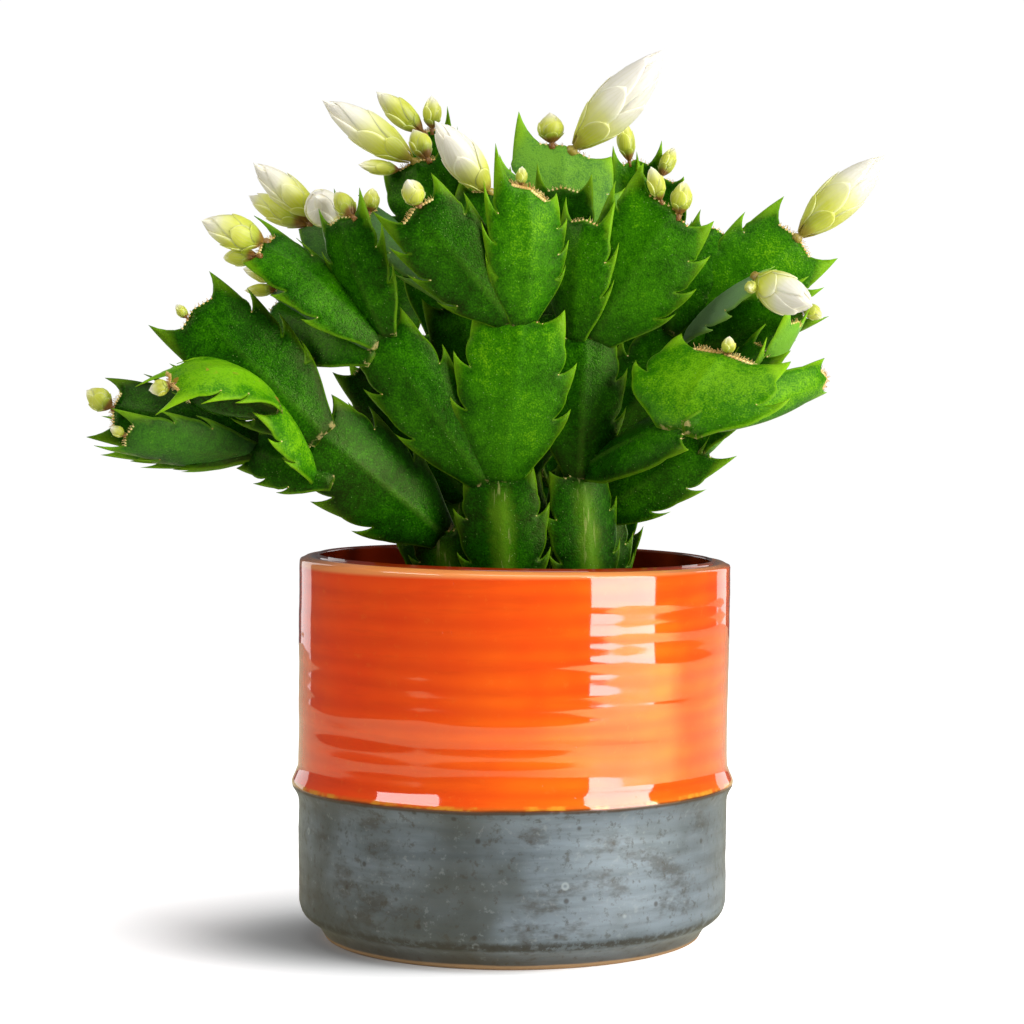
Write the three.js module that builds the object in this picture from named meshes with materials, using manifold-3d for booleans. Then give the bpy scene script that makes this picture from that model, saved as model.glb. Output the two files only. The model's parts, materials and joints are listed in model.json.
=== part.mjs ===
// A potted Christmas cactus in bud: toothed flat pads in forking chains, cream-white buds on their ends,
// and a hand-thrown pot, orange above its ridge and grey below. Millimetres, +Z up, front towards -Y.
// The origin is the centre of the pot's flat underside.
import * as THREE from 'three';
import { mergeVertices } from 'three/addons/utils/BufferGeometryUtils.js';
import Module from 'manifold-3d';

const wasm = await Module();
wasm.setup();

// Pot
const POT_HEIGHT = 122;
const POT_RADIUS = 69.3;
const RIDGE_RADIUS = 71.6;
const RIDGE_HEIGHT = 50;
const FOOT_RADIUS = 60.7;
const WALL = 5.6;
const FLOOR = 9;
const RIM_DROP = 1.2;
const TOP_SHIFT = 1.1;
const POT_SIDES = 36;

// Soil and the woody feet that stand in it
const SOIL_TOP = 104;
const SOIL_LUMP = 1.1;
const FOOT_DEPTH = 24;
const FOOT_RISE = 5;
const FOOT_STEM_RADIUS = 3.4;
const FOOT_SIDES = 8;
const CLEARANCE = 0.35;

// Pads
const RIB_THICKNESS = 3.2;
const EDGE_THICKNESS = 1;
const TIP_THICKNESS = 0.8;
const END_THICKNESS = 1.6;
const SINK = 3.5;

// The teeth of a pad's sides and the horns at the corners of its end, all as shares of its length or of its
// half width there, but for their reach in millimetres. The draw varies a reach by REACH_VARIES both ways.
const TEETH_START = 0.16;
const TOOTH = { before: 0.12, tip: 1.14, notch: 0.82, reach: 2, ofHorn: 0.5 };
const HORN = { at: 0.97, before: 0.12, tipAt: 0.9, tip: 1.02, notch: 0.62 };
const NOTCH_VARIES = 0.025;
const REACH_VARIES = 0.2;

// The half width of a pad along its length, as a share of half its width.
const PAD_OUTLINE = [[0, 0.3], [0.12, 0.52], [0.28, 0.84], [0.45, 0.98], [0.62, 1], [0.8, 0.92], [1, 0.62]];

// Buds
const BUD_GAP = 0.35;
const LARGE_BUD = { sides: 9, rings: 7, overlap: 0.05 };
const SMALL_BUD = { sides: 6, rings: 4, overlap: 0 };

// The half width of a bud along its length, as a share of half its width.
const BUD_OUTLINE = [[0, 0.12], [0.1, 0.4], [0.24, 0.78], [0.42, 1], [0.62, 0.92], [0.82, 0.55], [1, 0]];

// Each rooted stem with its pads. A pad grows on the pad named by on, at a share of that pad's length and
// a share of its half width, or from the soil at foot. It reaches to end, and its upper face looks along
// face. Its horns are the spikes at the corners of its end, alike or as a pair for its two sides.
const STEMS = {
  stem_left: [
    { name: 'l0', foot: [-14, -20], end: [-23, -26, 132], width: 23, face: [-0.3, -1, 0], horns: 3 },
    {
      name: 'l1', on: 'l0', at: [1, 0], end: [-60, -50, 164], width: 31,
      face: [-0.1, -1, 0.3], fold: 5, horns: 4,
    },
    { name: 'l2', on: 'l1', at: [1, 0.1], end: [-97, -53, 201], width: 31, face: [0.1, -1, 0.2], teeth: 3 },
    {
      name: 'l3', on: 'l1', at: [0.88, -0.88], end: [-73, -62, 172], width: 17,
      face: [0.9, -0.3, 0.3], horns: 4,
    },
    { name: 'l4', on: 'l3', at: [1, 0], end: [-101, -78, 178.5], width: 24, face: [0.15, -0.5, 1], arch: 8 },
    { name: 'l5', on: 'l3', at: [1, -0.3], end: [-97, -66, 174.5], width: 16, face: [0.2, -0.45, -1] },
    {
      name: 'l6', on: 'l1', at: [0.8, -0.7], end: [-81, -42, 158.5], width: 17,
      face: [-0.2, -1, 0.4], horns: 3,
    },
    { name: 'l7', on: 'l6', at: [1, 0.2], end: [-122, -50, 171], width: 26, face: [0, -1, 0.5] },
    { name: 'l8', on: 'l6', at: [1, -0.1], end: [-116, -66, 163], width: 17, face: [0, -1, -0.5] },
    { name: 'l9', on: 'l6', at: [1, -0.3], end: [-121, -42, 162], width: 15, face: [0, -1, 0.1] },
  ],
  stem_front: [
    { name: 'c0', foot: [-1, -30], end: [-4, -38, 150], width: 27, face: [0, -1, 0], horns: 3 },
    { name: 'c1', on: 'c0', at: [1, 0.15], end: [2.5, -50, 199], width: 34, face: [0.1, -1, 0.1], horns: 4 },
    {
      name: 'c2', on: 'c1', at: [1, 0.1], end: [5, -62, 237], width: 25, face: [0.35, -1, 0.1],
      teeth: 3, skew: -0.16, horns: [7.5, 6],
    },
    { name: 'c3', on: 'c1', at: [1, -0.4], end: [-29, -66, 231], width: 26, face: [-0.2, -1, 0.2], teeth: 3 },
    {
      name: 'c4', on: 'c0', at: [1, -0.7], end: [-41, -48, 194], width: 25,
      face: [-0.15, -1, 0.15], horns: 4,
    },
    {
      name: 'c5', on: 'c4', at: [1, -0.3], end: [-76, -52, 221], width: 22,
      face: [0.3, -0.8, 0.6], horns: [2, 8],
    },
    { name: 'c6', on: 'c4', at: [1, 0.3], end: [-52, -52, 229], width: 20, face: [-0.5, -0.8, 0.2] },
    { name: 'c7', on: 'c4', at: [0.95, -0.8], end: [-75, -30, 202], width: 22, face: [0, -1, 0.3] },
    { name: 'c8', on: 'c4', at: [1, -0.6], end: [-73, -32, 211], width: 16, face: [0.2, -0.9, -0.5] },
  ],
  stem_left_inner: [
    { name: 'k0', foot: [-24, 2], end: [-15, -8, 143], width: 20, face: [0, -1, 0], teeth: 1, horns: 3 },
    { name: 'k1', on: 'k0', at: [1, 0], end: [-46, -26, 186], width: 27, face: [-0.1, -1, 0.1], horns: 5 },
    {
      name: 'k2', on: 'k1', at: [1, 0.4], end: [-61, -24, 231], width: 19,
      face: [-0.3, -1, 0.2], horns: [0.5, 7],
    },
  ],
  stem_middle: [
    { name: 'm0', foot: [4, -8], end: [0, -18, 150], width: 22, face: [0, -1, 0], teeth: 1, horns: 3 },
    { name: 'm1', on: 'm0', at: [1, -0.3], end: [-17, -30, 205], width: 27, face: [0, -1, 0.1], horns: 4 },
    {
      name: 'm2', on: 'm0', at: [1, 0.4], end: [14, -12, 202], width: 26,
      face: [0.1, -1, 0], teeth: 1, horns: 4,
    },
    { name: 'm3', on: 'm1', at: [1, -0.3], end: [-44, -38, 231], width: 22, face: [0.7, -0.5, 0.6] },
    {
      name: 'm4', on: 'm1', at: [1, 0], end: [-30, -30, 248], width: 27,
      face: [-0.1, -1, 0.1], horns: [2, 9],
    },
    { name: 'm5', on: 'm1', at: [1, 0.4], end: [-7, -34, 238], width: 24, face: [0, -1, 0], horns: [3, 5] },
    {
      name: 'm6', on: 'm2', at: [1, -0.1], end: [16.8, -13, 254], width: 38,
      face: [0.1, -1, 0.3], teeth: 3, skew: -0.08, horns: [8, 4],
    },
    { name: 'm7', on: 'm2', at: [1, 0.3], end: [16, -25, 240], width: 22, face: [-0.2, -1, 0] },
  ],
  stem_right: [
    { name: 'r0', foot: [24.5, -25], end: [21, -30, 151], width: 24, face: [0.5, -1, 0], horns: 3 },
    { name: 'r1', on: 'r0', at: [1, 0], end: [22, -32, 194], width: 26, face: [0.1, -1, 0], horns: 4 },
    {
      name: 'r2', on: 'r1', at: [1, 0.5], end: [49, -40, 233], width: 35,
      face: [0.2, -1, 0.2], teeth: 3, skew: -0.06,
    },
    { name: 'r3', on: 'r1', at: [1, -0.3], end: [22.5, -40, 229], width: 20, face: [-0.4, -1, 0] },
    {
      name: 'r4', on: 'r0', at: [1, 0.5], end: [53, -60, 166], width: 22,
      face: [0.3, -0.8, 0.5], teeth: 0, horns: [0.5, 3],
    },
    {
      name: 'r5', on: 'r4', at: [0.95, -0.15], end: [65, -46, 187.5], width: 48,
      face: [-0.4, -0.85, 0.5], teeth: 1,
    },
    {
      name: 'r6', on: 'r5', at: [0.12, 0.3], end: [97.4, -36, 180.3], width: 14,
      face: [0.1, -1, -0.3], teeth: 0, horns: 3,
    },
  ],
  stem_right_side: [
    { name: 'p0', foot: [29, -8], end: [28, -14, 137], width: 20, face: [0.2, -1, 0.1], horns: 4 },
    { name: 'p1', on: 'p0', at: [1, 0], end: [61, -24, 160], width: 22, face: [0.2, -1, 0.3] },
    { name: 'p2', on: 'p1', at: [1, 0.2], end: [89, -34, 198], width: 16, face: [0.9, -0.5, 0] },
    { name: 'p3', on: 'p1', at: [1, -0.1], end: [78, -34, 190], width: 22, face: [0, -0.6, 1] },
  ],
  stem_right_inner: [
    { name: 'q0', foot: [14, 6], end: [24, -6, 152], width: 22, face: [0, -1, 0], teeth: 1, horns: 3 },
    { name: 'q1', on: 'q0', at: [1, 0], end: [55, -14, 194], width: 27, face: [0.1, -1, 0.1], horns: 4 },
    { name: 'q2', on: 'q1', at: [1, 0.1], end: [91, -12, 225], width: 33, face: [0, -1, 0.2], teeth: 3 },
    { name: 'q3', on: 'q1', at: [1, -0.6], end: [65, -8, 228], width: 20, face: [-0.3, -1, 0.1] },
    {
      name: 'q4', on: 'q1', at: [1, 0.2], end: [76, -34, 211], width: 18,
      face: [-0.5, -0.4, 0.9], horns: [5, 0.5],
    },
    { name: 'q5', on: 'q1', at: [1, 0.8], end: [91, -24, 203], width: 18, face: [0, -1, -0.2] },
  ],
  stem_rear_left: [
    { name: 'b0', foot: [-22, 20], end: [-28, 24, 146], width: 24, face: [0, 1, 0], teeth: 1, horns: 3 },
    { name: 'b1', on: 'b0', at: [1, 0.3], end: [-44, 36, 186], width: 27, face: [-0.2, 1, 0], horns: 4 },
    {
      name: 'b2', on: 'b0', at: [1, -0.5], end: [-24, 24, 196], width: 25,
      face: [0, 1, 0], teeth: 1, horns: 4,
    },
    { name: 'b3', on: 'b1', at: [1, 0.3], end: [-50, 50, 227], width: 26, face: [-0.3, 1, 0.2] },
    { name: 'b4', on: 'b1', at: [1, -0.4], end: [-38, 38, 232], width: 22, face: [0.3, 1, 0] },
    { name: 'b5', on: 'b2', at: [1, 0], end: [-25, 16, 242], width: 24, face: [0, 1, 0], teeth: 1, horns: 4 },
    { name: 'b6', on: 'b5', at: [1, -0.2], end: [-26, 10, 261], width: 15, face: [0, 1, 0], horns: [9, 0.5] },
    { name: 'b7', on: 'b0', at: [1, 0.7], end: [-44, 56, 160], width: 24, face: [0, 1, 0.6], horns: 4 },
    { name: 'b8', on: 'b7', at: [1, 0], end: [-46, 84, 184], width: 27, face: [0, 1, 0.8] },
  ],
  stem_rear: [
    { name: 'd0', foot: [6, 28], end: [6, 30, 150], width: 26, face: [0, 1, 0], teeth: 1, horns: 3 },
    {
      name: 'd1', on: 'd0', at: [1, 0.4], end: [-6, 30, 198], width: 28,
      face: [0, 1, 0], teeth: 1, horns: 4,
    },
    {
      name: 'd2', on: 'd0', at: [1, -0.4], end: [22, 38, 194], width: 28,
      face: [0, 1, 0], teeth: 1, horns: 4,
    },
    { name: 'd3', on: 'd1', at: [1, 0.3], end: [-12, 38, 240], width: 26, face: [-0.1, 1, 0.1] },
    { name: 'd4', on: 'd1', at: [1, -0.4], end: [8, 24, 243], width: 24, face: [0.2, 1, 0] },
    { name: 'd5', on: 'd2', at: [1, -0.3], end: [36, 44, 233], width: 26, face: [0.2, 1, 0.1] },
    { name: 'd6', on: 'd2', at: [1, 0.3], end: [16, 60, 225], width: 26, face: [0, 1, 0.4] },
    { name: 'd7', on: 'd0', at: [0.96, 0.7], end: [-6, 62, 176], width: 26, face: [-0.1, 1, 0.5], horns: 4 },
    { name: 'd8', on: 'd7', at: [1, 0], end: [-10, 88, 208], width: 28, face: [-0.1, 1, 0.7] },
    { name: 'd9', on: 'd0', at: [0.96, -0.7], end: [24, 66, 168], width: 24, face: [0.2, 1, 0.5], horns: 4 },
    { name: 'd10', on: 'd9', at: [1, 0], end: [34, 94, 192], width: 26, face: [0.2, 1, 0.8] },
  ],
  stem_rear_right: [
    { name: 'e0', foot: [31, 22], end: [35, 20, 150], width: 18, face: [0.2, 1, 0], teeth: 1, horns: 3 },
    {
      name: 'e1', on: 'e0', at: [1, 0.4], end: [44, 10, 199], width: 26,
      face: [0, 1, 0], teeth: 1, horns: 4,
    },
    { name: 'e2', on: 'e0', at: [1, -0.3], end: [62, 32, 184], width: 26, face: [0.3, 1, 0.2], horns: 4 },
    { name: 'e3', on: 'e1', at: [1, 0.4], end: [40, 5, 251], width: 20, face: [-0.2, 1, 0] },
    { name: 'e4', on: 'e1', at: [1, -0.4], end: [48, 0, 245], width: 19, face: [0.2, 1, 0], horns: [2, 12] },
    { name: 'e5', on: 'e2', at: [1, -0.2], end: [76, 46, 222], width: 27, face: [0.3, 1, 0.2] },
    { name: 'e6', on: 'e2', at: [1, 0.5], end: [56, 62, 214], width: 24, face: [0, 1, 0.4] },
    { name: 'e7', on: 'e0', at: [0.94, -0.7], end: [64, 56, 164], width: 24, face: [0.3, 1, 0.5], horns: 4 },
    { name: 'e8', on: 'e7', at: [1, 0], end: [74, 84, 190], width: 26, face: [0.3, 1, 0.7] },
  ],
};

// Buds: each stands on the end of the pad named by on, at a share of that pad's half width, and reaches
// to tip.
const BUDS = {
  large: [
    { on: 'm6', at: 0.14, tip: [48.3, -22, 283.5], width: 15.5 },
    { on: 'q2', at: 0, tip: [119, -14, 251], width: 13.6 },
    { on: 'm4', at: -0.05, tip: [-58.7, -36, 266], width: 11 },
    { on: 'm5', at: 0, tip: [-23.6, -48, 258.5], width: 11.6 },
    { on: 'k2', at: 0.02, tip: [-80.4, -33, 247], width: 9.5 },
    { on: 'k2', at: 0.42, tip: [-60, -47, 235.5], width: 11.5 },
    { on: 'c5', at: 0.1, tip: [-93.5, -60, 227.5], width: 10.3 },
    { on: 'k2', at: -0.34, tip: [-83.5, -15, 238], width: 8.2 },
    { on: 'q4', at: -0.05, tip: [91, -56, 202], width: 12.8 },
    { on: 'd8', at: 0.2, tip: [-16, 106, 238], width: 12 },
    { on: 'e6', at: 0, tip: [58, 86, 237], width: 11 },
  ],
  small: [
    { on: 'c5', at: -0.42, tip: [-88.5, -46, 217], width: 6 },
    { on: 'b6', at: 0.4, tip: [-44, 6, 273], width: 8.6 },
    { on: 'b6', at: 0, tip: [-26, 8, 272], width: 6.4 },
    { on: 'm4', at: 0.28, tip: [-31, -26, 258], width: 7.2 },
    { on: 'm4', at: -0.42, tip: [-47.5, -38, 246], width: 4.8 },
    { on: 'c3', at: 0.1, tip: [-31, -72, 239], width: 7 },
    { on: 'c6', at: 0.4, tip: [-54, -46, 237], width: 6.5 },
    { on: 'm3', at: 0, tip: [-43, -37, 239], width: 5.5 },
    { on: 'c8', at: 0.35, tip: [-83.5, -35, 214], width: 7.5 },
    { on: 'c8', at: -0.38, tip: [-83.5, -30, 207.5], width: 4.2 },
    { on: 'm6', at: -0.22, tip: [12, -13, 264.5], width: 9 },
    { on: 'e3', at: 0.2, tip: [35.5, 3, 264], width: 6 },
    { on: 'r2', at: -0.2, tip: [42.5, -44, 245], width: 5.6 },
    { on: 'r2', at: 0.2, tip: [53, -40, 241], width: 7 },
    { on: 'e4', at: 0, tip: [52.5, 5, 255], width: 5.4 },
    { on: 'q4', at: 0.36, tip: [72.5, -49, 207.5], width: 4 },
    { on: 'q5', at: 0, tip: [97.5, -26, 199], width: 5 },
    { on: 'r5', at: 0.05, tip: [66.5, -48.5, 193], width: 4.6 },
    { on: 'l7', at: 0, tip: [-130, -50, 176.5], width: 7.5 },
    { on: 'l4', at: -0.1, tip: [-107, -80, 176.5], width: 5 },
    { on: 'l8', at: 0, tip: [-120, -69, 165.5], width: 3.4 },
    { on: 'c2', at: -0.2, tip: [3, -64, 243.5], width: 3.6 },
    { on: 'l2', at: -0.2, tip: [-102, -54, 202.5], width: 3.2 },
    { on: 'd3', at: 0, tip: [-14, 40, 250], width: 7 },
    { on: 'd10', at: 0, tip: [37, 103, 201], width: 6 },
    { on: 'b8', at: 0, tip: [-48, 93, 192], width: 6.5 },
    { on: 'e8', at: 0.1, tip: [77, 92, 200], width: 7 },
  ],
};

// A repeatable draw from 0 to 1 for a pad and a use of it.
function draw(pad, use) {
  const value = Math.sin(pad * 12.9898 + use * 78.233) * 43758.5453;
  return value - Math.floor(value);
}

// The value of a profile of [share, value] points at a share.
function alongProfile(profile, share) {
  const last = profile.length - 1;
  let i = 0;
  while (i < last - 1 && profile[i + 1][0] < share) i++;
  const [a, from] = profile[i];
  const [b, to] = profile[i + 1];
  return from + (to - from) * THREE.MathUtils.clamp((share - a) / (b - a), 0, 1);
}

function solidOf(geometry) {
  const plain = geometry.clone();
  plain.deleteAttribute('normal');
  plain.deleteAttribute('uv');
  const merged = mergeVertices(plain, 1e-4);
  return new wasm.Manifold(new wasm.Mesh({
    numProp: 3,
    vertProperties: merged.attributes.position.array,
    triVerts: new Uint32Array(merged.index.array),
  }));
}

function geometryOf(solid) {
  const { vertProperties, triVerts } = solid.getMesh();
  const geometry = new THREE.BufferGeometry();
  geometry.setAttribute('position', new THREE.BufferAttribute(vertProperties, 3));
  geometry.setIndex(new THREE.BufferAttribute(triVerts, 1));
  geometry.computeVertexNormals();
  return geometry;
}

// A pad's own frame: up along its length, out of its upper face, and across.
function padFrame(pad, start) {
  const up = new THREE.Vector3(...pad.end).sub(start);
  const length = up.length();
  up.normalize();
  const out = new THREE.Vector3(...pad.face);
  out.addScaledVector(up, -out.dot(up)).normalize();
  const across = new THREE.Vector3().crossVectors(up, out);
  return { pad, start, length, up, out, across };
}

// The middle surface of a pad at a share of its length and at a distance across, in millimetres.
function padPoint({ pad, start, length, up, out, across }, share, side) {
  const { arch = 2.5, fold = 2.5, skew = 0 } = pad;
  const half = pad.width / 2;
  const lift = arch * 4 * share * (1 - share) - fold * (side / half) ** 2;
  const forward = share + skew * share * share * side / half;
  return start.clone()
    .addScaledVector(up, forward * length)
    .addScaledVector(across, side)
    .addScaledVector(out, lift);
}

// One side of a pad's outline as [share of length, distance across, role]. A tooth leans towards the pad's
// end, with a notch behind its tip. The last one is the horn at the corner of the pad's end.
function padSide({ pad, length, number }, sign) {
  const half = pad.width / 2;
  const { teeth = 2, horns = 7 } = pad;
  const horn = Array.isArray(horns) ? horns[sign > 0 ? 1 : 0] : horns;
  const width = (share) => half * alongProfile(PAD_OUTLINE, share);
  const points = [0, 0.12].map((share) => [share, width(share), 'body']);
  for (let k = 0; k <= teeth; k++) {
    const isHorn = k === teeth;
    const use = 7 * k + (sign > 0 ? 1 : 2);
    const shape = isHorn ? HORN : TOOTH;
    const shift = NOTCH_VARIES * (2 * draw(number, use) - 1);
    const notch = isHorn ? HORN.at : TEETH_START + (1 - TEETH_START) * (k + 0.92) / (teeth + 1) + shift;
    const vary = 1 + REACH_VARIES * (2 * draw(number, use + 50) - 1);
    const reach = vary * (isHorn ? horn : TOOTH.ofHorn * horn + TOOTH.reach);
    const before = notch - shape.before;
    points.push([before, width(before), 'body']);
    points.push([notch + reach / length, shape.tip * width(isHorn ? HORN.tipAt : notch), 'tip']);
    points.push([notch, shape.notch * width(notch), 'notch']);
  }
  return points.map(([share, side, role]) => [share, sign * side, role]);
}

// A pad as a closed shell: a thick middle line, thin toothed edges, and the same triangles on both faces.
function padSolid(frame) {
  const middle = [0, 0.25, 0.62, 1].map((share) => [share, 0, 'rib']);
  const points = [...middle];
  const faces = [];
  const rims = [];
  for (const sign of [1, -1]) {
    const side = padSide(frame, sign);
    const first = points.length;
    points.push(...side);
    rims.push(side.map((_, i) => first + i));
    const face = (a, b, c) => faces.push(sign > 0 ? [a, b, c] : [a, c, b]);
    const inner = rims.at(-1).filter((i) => points[i][2] !== 'tip');
    let m = 0;
    let k = 0;
    while (m < middle.length - 1 || k < inner.length - 1) {
      const middleIsNext = k === inner.length - 1
        || (m < middle.length - 1 && points[m + 1][0] < points[inner[k + 1]][0]);
      if (middleIsNext) {
        face(m, inner[k], m + 1);
        m++;
      } else {
        face(m, inner[k], inner[k + 1]);
        k++;
      }
    }
    side.forEach(([, , role], i) => {
      if (role === 'tip') face(first + i - 1, first + i, first + i + 1);
    });
  }
  const loop = [0, ...rims[0], middle.length - 1, ...rims[1].reverse()];

  const thickness = { rib: RIB_THICKNESS, body: EDGE_THICKNESS, notch: EDGE_THICKNESS, tip: TIP_THICKNESS };
  const positions = [];
  for (const layer of [0.5, -0.5]) {
    for (const [share, side, role] of points) {
      const thick = role === 'rib' && share === 1 ? END_THICKNESS : thickness[role];
      const point = padPoint(frame, share, side).addScaledVector(frame.out, layer * thick);
      point.toArray(positions, positions.length);
    }
  }
  const count = points.length;
  const index = [];
  for (const [a, b, c] of faces) index.push(a, b, c, a + count, c + count, b + count);
  loop.forEach((a, i) => {
    const b = loop[(i + 1) % loop.length];
    index.push(a, a + count, b, b, a + count, b + count);
  });
  const geometry = new THREE.BufferGeometry();
  geometry.setAttribute('position', new THREE.Float32BufferAttribute(positions, 3));
  geometry.setIndex(index);
  return solidOf(geometry);
}

// Where a pad starts: sunk a little into the pad that carries it, or just above the soil.
function padStart(pad, frames) {
  if (pad.foot) return new THREE.Vector3(...pad.foot, SOIL_TOP + SOIL_LUMP + CLEARANCE);
  const carrier = frames[pad.on];
  const [share, side] = pad.at;
  const seat = padPoint(carrier, share, side * carrier.pad.width / 2 * alongProfile(PAD_OUTLINE, share));
  const way = new THREE.Vector3(...pad.end).sub(seat).normalize();
  return seat.addScaledVector(way, -SINK);
}

// The round woody foot of a stem, or the hole in the soil that it stands in.
function footSolid([x, y], radius, low, high) {
  const geometry = new THREE.CylinderGeometry(radius, radius, high - low, FOOT_SIDES);
  geometry.rotateX(Math.PI / 2);
  geometry.translate(x, y, (low + high) / 2);
  return solidOf(geometry);
}

function stemSolid(pads, frames) {
  let solid = footSolid(pads[0].foot, FOOT_STEM_RADIUS, SOIL_TOP - FOOT_DEPTH, SOIL_TOP + FOOT_RISE);
  for (const pad of pads) {
    const frame = padFrame(pad, padStart(pad, frames));
    frame.number = Object.keys(frames).length;
    frames[pad.name] = frame;
    solid = solid.add(padSolid(frame));
  }
  return solid;
}

// A bud as rings about a straight axis. On the large buds each ring swells in and out where tepals overlap.
function budGeometry(bud, frames, { sides, rings, overlap }) {
  const carrier = frames[bud.on];
  const side = bud.at * carrier.pad.width / 2;
  const corner = HORN.notch * alongProfile(PAD_OUTLINE, HORN.at);
  const share = 1 - (1 - HORN.at) * Math.min(1, Math.abs(bud.at) / corner);
  const seat = padPoint(carrier, share, side);
  const tip = new THREE.Vector3(...bud.tip);
  const way = tip.clone().sub(seat).normalize();
  const start = seat.addScaledVector(way, BUD_GAP);
  const length = tip.distanceTo(start);
  const one = new THREE.Vector3().crossVectors(way, new THREE.Vector3(0, 0.6, 0.8)).normalize();
  const two = new THREE.Vector3().crossVectors(way, one);
  const positions = [...start.toArray(), ...tip.toArray()];
  for (let j = 0; j < rings; j++) {
    const along = (j + 0.35) / (rings - 0.1);
    const radius = bud.width / 2 * alongProfile(BUD_OUTLINE, along);
    for (let i = 0; i < sides; i++) {
      const scale = (i + j) % 2 ? 1 + overlap : 1 - overlap;
      const angle = 2 * Math.PI * (i + (j % 2) / 2) / sides;
      start.clone()
        .addScaledVector(way, along * length)
        .addScaledVector(one, radius * scale * Math.cos(angle))
        .addScaledVector(two, radius * scale * Math.sin(angle))
        .toArray(positions, positions.length);
    }
  }
  const at = (j, i) => 2 + j * sides + (i % sides);
  const index = [];
  for (let i = 0; i < sides; i++) {
    index.push(0, at(0, i + 1), at(0, i), 1, at(rings - 1, i), at(rings - 1, i + 1));
    for (let j = 0; j < rings - 1; j++) {
      const [a, b, c, d] = [at(j, i), at(j, i + 1), at(j + 1, i), at(j + 1, i + 1)];
      index.push(a, b, d, a, d, c);
    }
  }
  const geometry = new THREE.BufferGeometry();
  geometry.setAttribute('position', new THREE.Float32BufferAttribute(positions, 3));
  geometry.setIndex(index);
  return geometryOf(solidOf(geometry));
}

// The hand-thrown pot: its top leans a little to one side and its rim drops towards +X.
function throwByHand(geometry) {
  const position = geometry.attributes.position;
  for (let i = 0; i < position.count; i++) {
    const height = position.getZ(i) / POT_HEIGHT;
    const x = position.getX(i);
    position.setX(i, x + TOP_SHIFT * height * height);
    position.setZ(i, position.getZ(i) - RIM_DROP * height * height * height * x / POT_RADIUS);
  }
  return geometry;
}

function turned(profile, sides) {
  const geometry = new THREE.LatheGeometry(profile.map(([r, z]) => new THREE.Vector2(r, z)), sides);
  return geometry.rotateX(Math.PI / 2);
}

const INNER_RADIUS = POT_RADIUS - WALL;

function potGeometry() {
  const profile = [
    [0, 0], [FOOT_RADIUS, 0], [FOOT_RADIUS + 0.5, 1], [FOOT_RADIUS + 2.7, 4.3], [POT_RADIUS - 1.7, 7.6],
    [POT_RADIUS - 0.3, 10.6], [POT_RADIUS, 14], [POT_RADIUS, RIDGE_HEIGHT - 7],
    [POT_RADIUS + 0.8, RIDGE_HEIGHT - 3], [RIDGE_RADIUS, RIDGE_HEIGHT], [POT_RADIUS + 1, RIDGE_HEIGHT + 3.5],
    [POT_RADIUS + 0.2, RIDGE_HEIGHT + 8], [POT_RADIUS + 0.4, POT_HEIGHT - 4],
    [POT_RADIUS - 0.1, POT_HEIGHT - 1.2], [POT_RADIUS - 1.6, POT_HEIGHT], [INNER_RADIUS + 1.8, POT_HEIGHT],
    [INNER_RADIUS + 0.4, POT_HEIGHT - 1.4], [INNER_RADIUS, POT_HEIGHT - 4], [INNER_RADIUS, FLOOR + 6],
    [INNER_RADIUS - 4, FLOOR], [0, FLOOR],
  ];
  const geometry = throwByHand(geometryOf(solidOf(turned(profile, POT_SIDES))));
  const position = geometry.attributes.position;
  const colours = [];
  const orange = new THREE.Color(0xd8501a);
  const grey = new THREE.Color(0x66747a);
  for (let i = 0; i < position.count; i++) {
    const outside = Math.hypot(position.getX(i), position.getY(i)) > INNER_RADIUS + 2;
    (outside && position.getZ(i) < RIDGE_HEIGHT + 1 ? grey : orange).toArray(colours, colours.length);
  }
  geometry.setAttribute('color', new THREE.Float32BufferAttribute(colours, 3));
  return geometry;
}

// The soil fills the pot to below the rim. Its top is lumpy, with a plain hole for each stem's foot.
function soilGeometry() {
  const edge = INNER_RADIUS - CLEARANCE;
  const rings = [edge, edge * 0.72, edge * 0.45, edge * 0.2, 0];
  const profile = [
    [0, FLOOR + CLEARANCE], [edge - 4.2, FLOOR + CLEARANCE], [edge, FLOOR + 6.2],
    ...rings.map((r) => [r, SOIL_TOP]),
  ];
  const geometry = geometryOf(solidOf(turned(profile, POT_SIDES)));
  const position = geometry.attributes.position;
  for (let i = 0; i < position.count; i++) {
    if (position.getZ(i) < SOIL_TOP - 1) continue;
    const x = position.getX(i);
    const y = position.getY(i);
    const lumpX = Math.sin(x * 0.31 + 1.7 * Math.cos(y * 0.13));
    const lumpY = Math.sin(y * 0.27 + 1.3 * Math.sin(x * 0.11));
    position.setZ(i, SOIL_TOP - SOIL_LUMP + SOIL_LUMP * lumpX * lumpY);
  }
  let solid = solidOf(throwByHand(geometry));
  for (const pads of Object.values(STEMS)) {
    const hole = footSolid(
      pads[0].foot, FOOT_STEM_RADIUS + CLEARANCE, SOIL_TOP - FOOT_DEPTH - CLEARANCE, SOIL_TOP + FOOT_RISE);
    solid = solid.subtract(hole);
  }
  return geometryOf(solid);
}

function material(colour, roughness) {
  return new THREE.MeshStandardMaterial({ color: colour, roughness, metalness: 0 });
}

const PAD_GREEN = material(0x2a7a1c, 0.38);
const BUD_WHITE = material(0xf3f1dc, 0.5);
const BUD_GREEN = material(0xc9cf6a, 0.5);
const SOIL_BROWN = material(0x3a2a1e, 0.95);
const GLAZE = new THREE.MeshStandardMaterial({ vertexColors: true, roughness: 0.15, metalness: 0 });

const group = new THREE.Group();

function addMesh(name, geometry, finish) {
  const mesh = new THREE.Mesh(geometry, finish);
  mesh.name = name;
  group.add(mesh);
}

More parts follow.
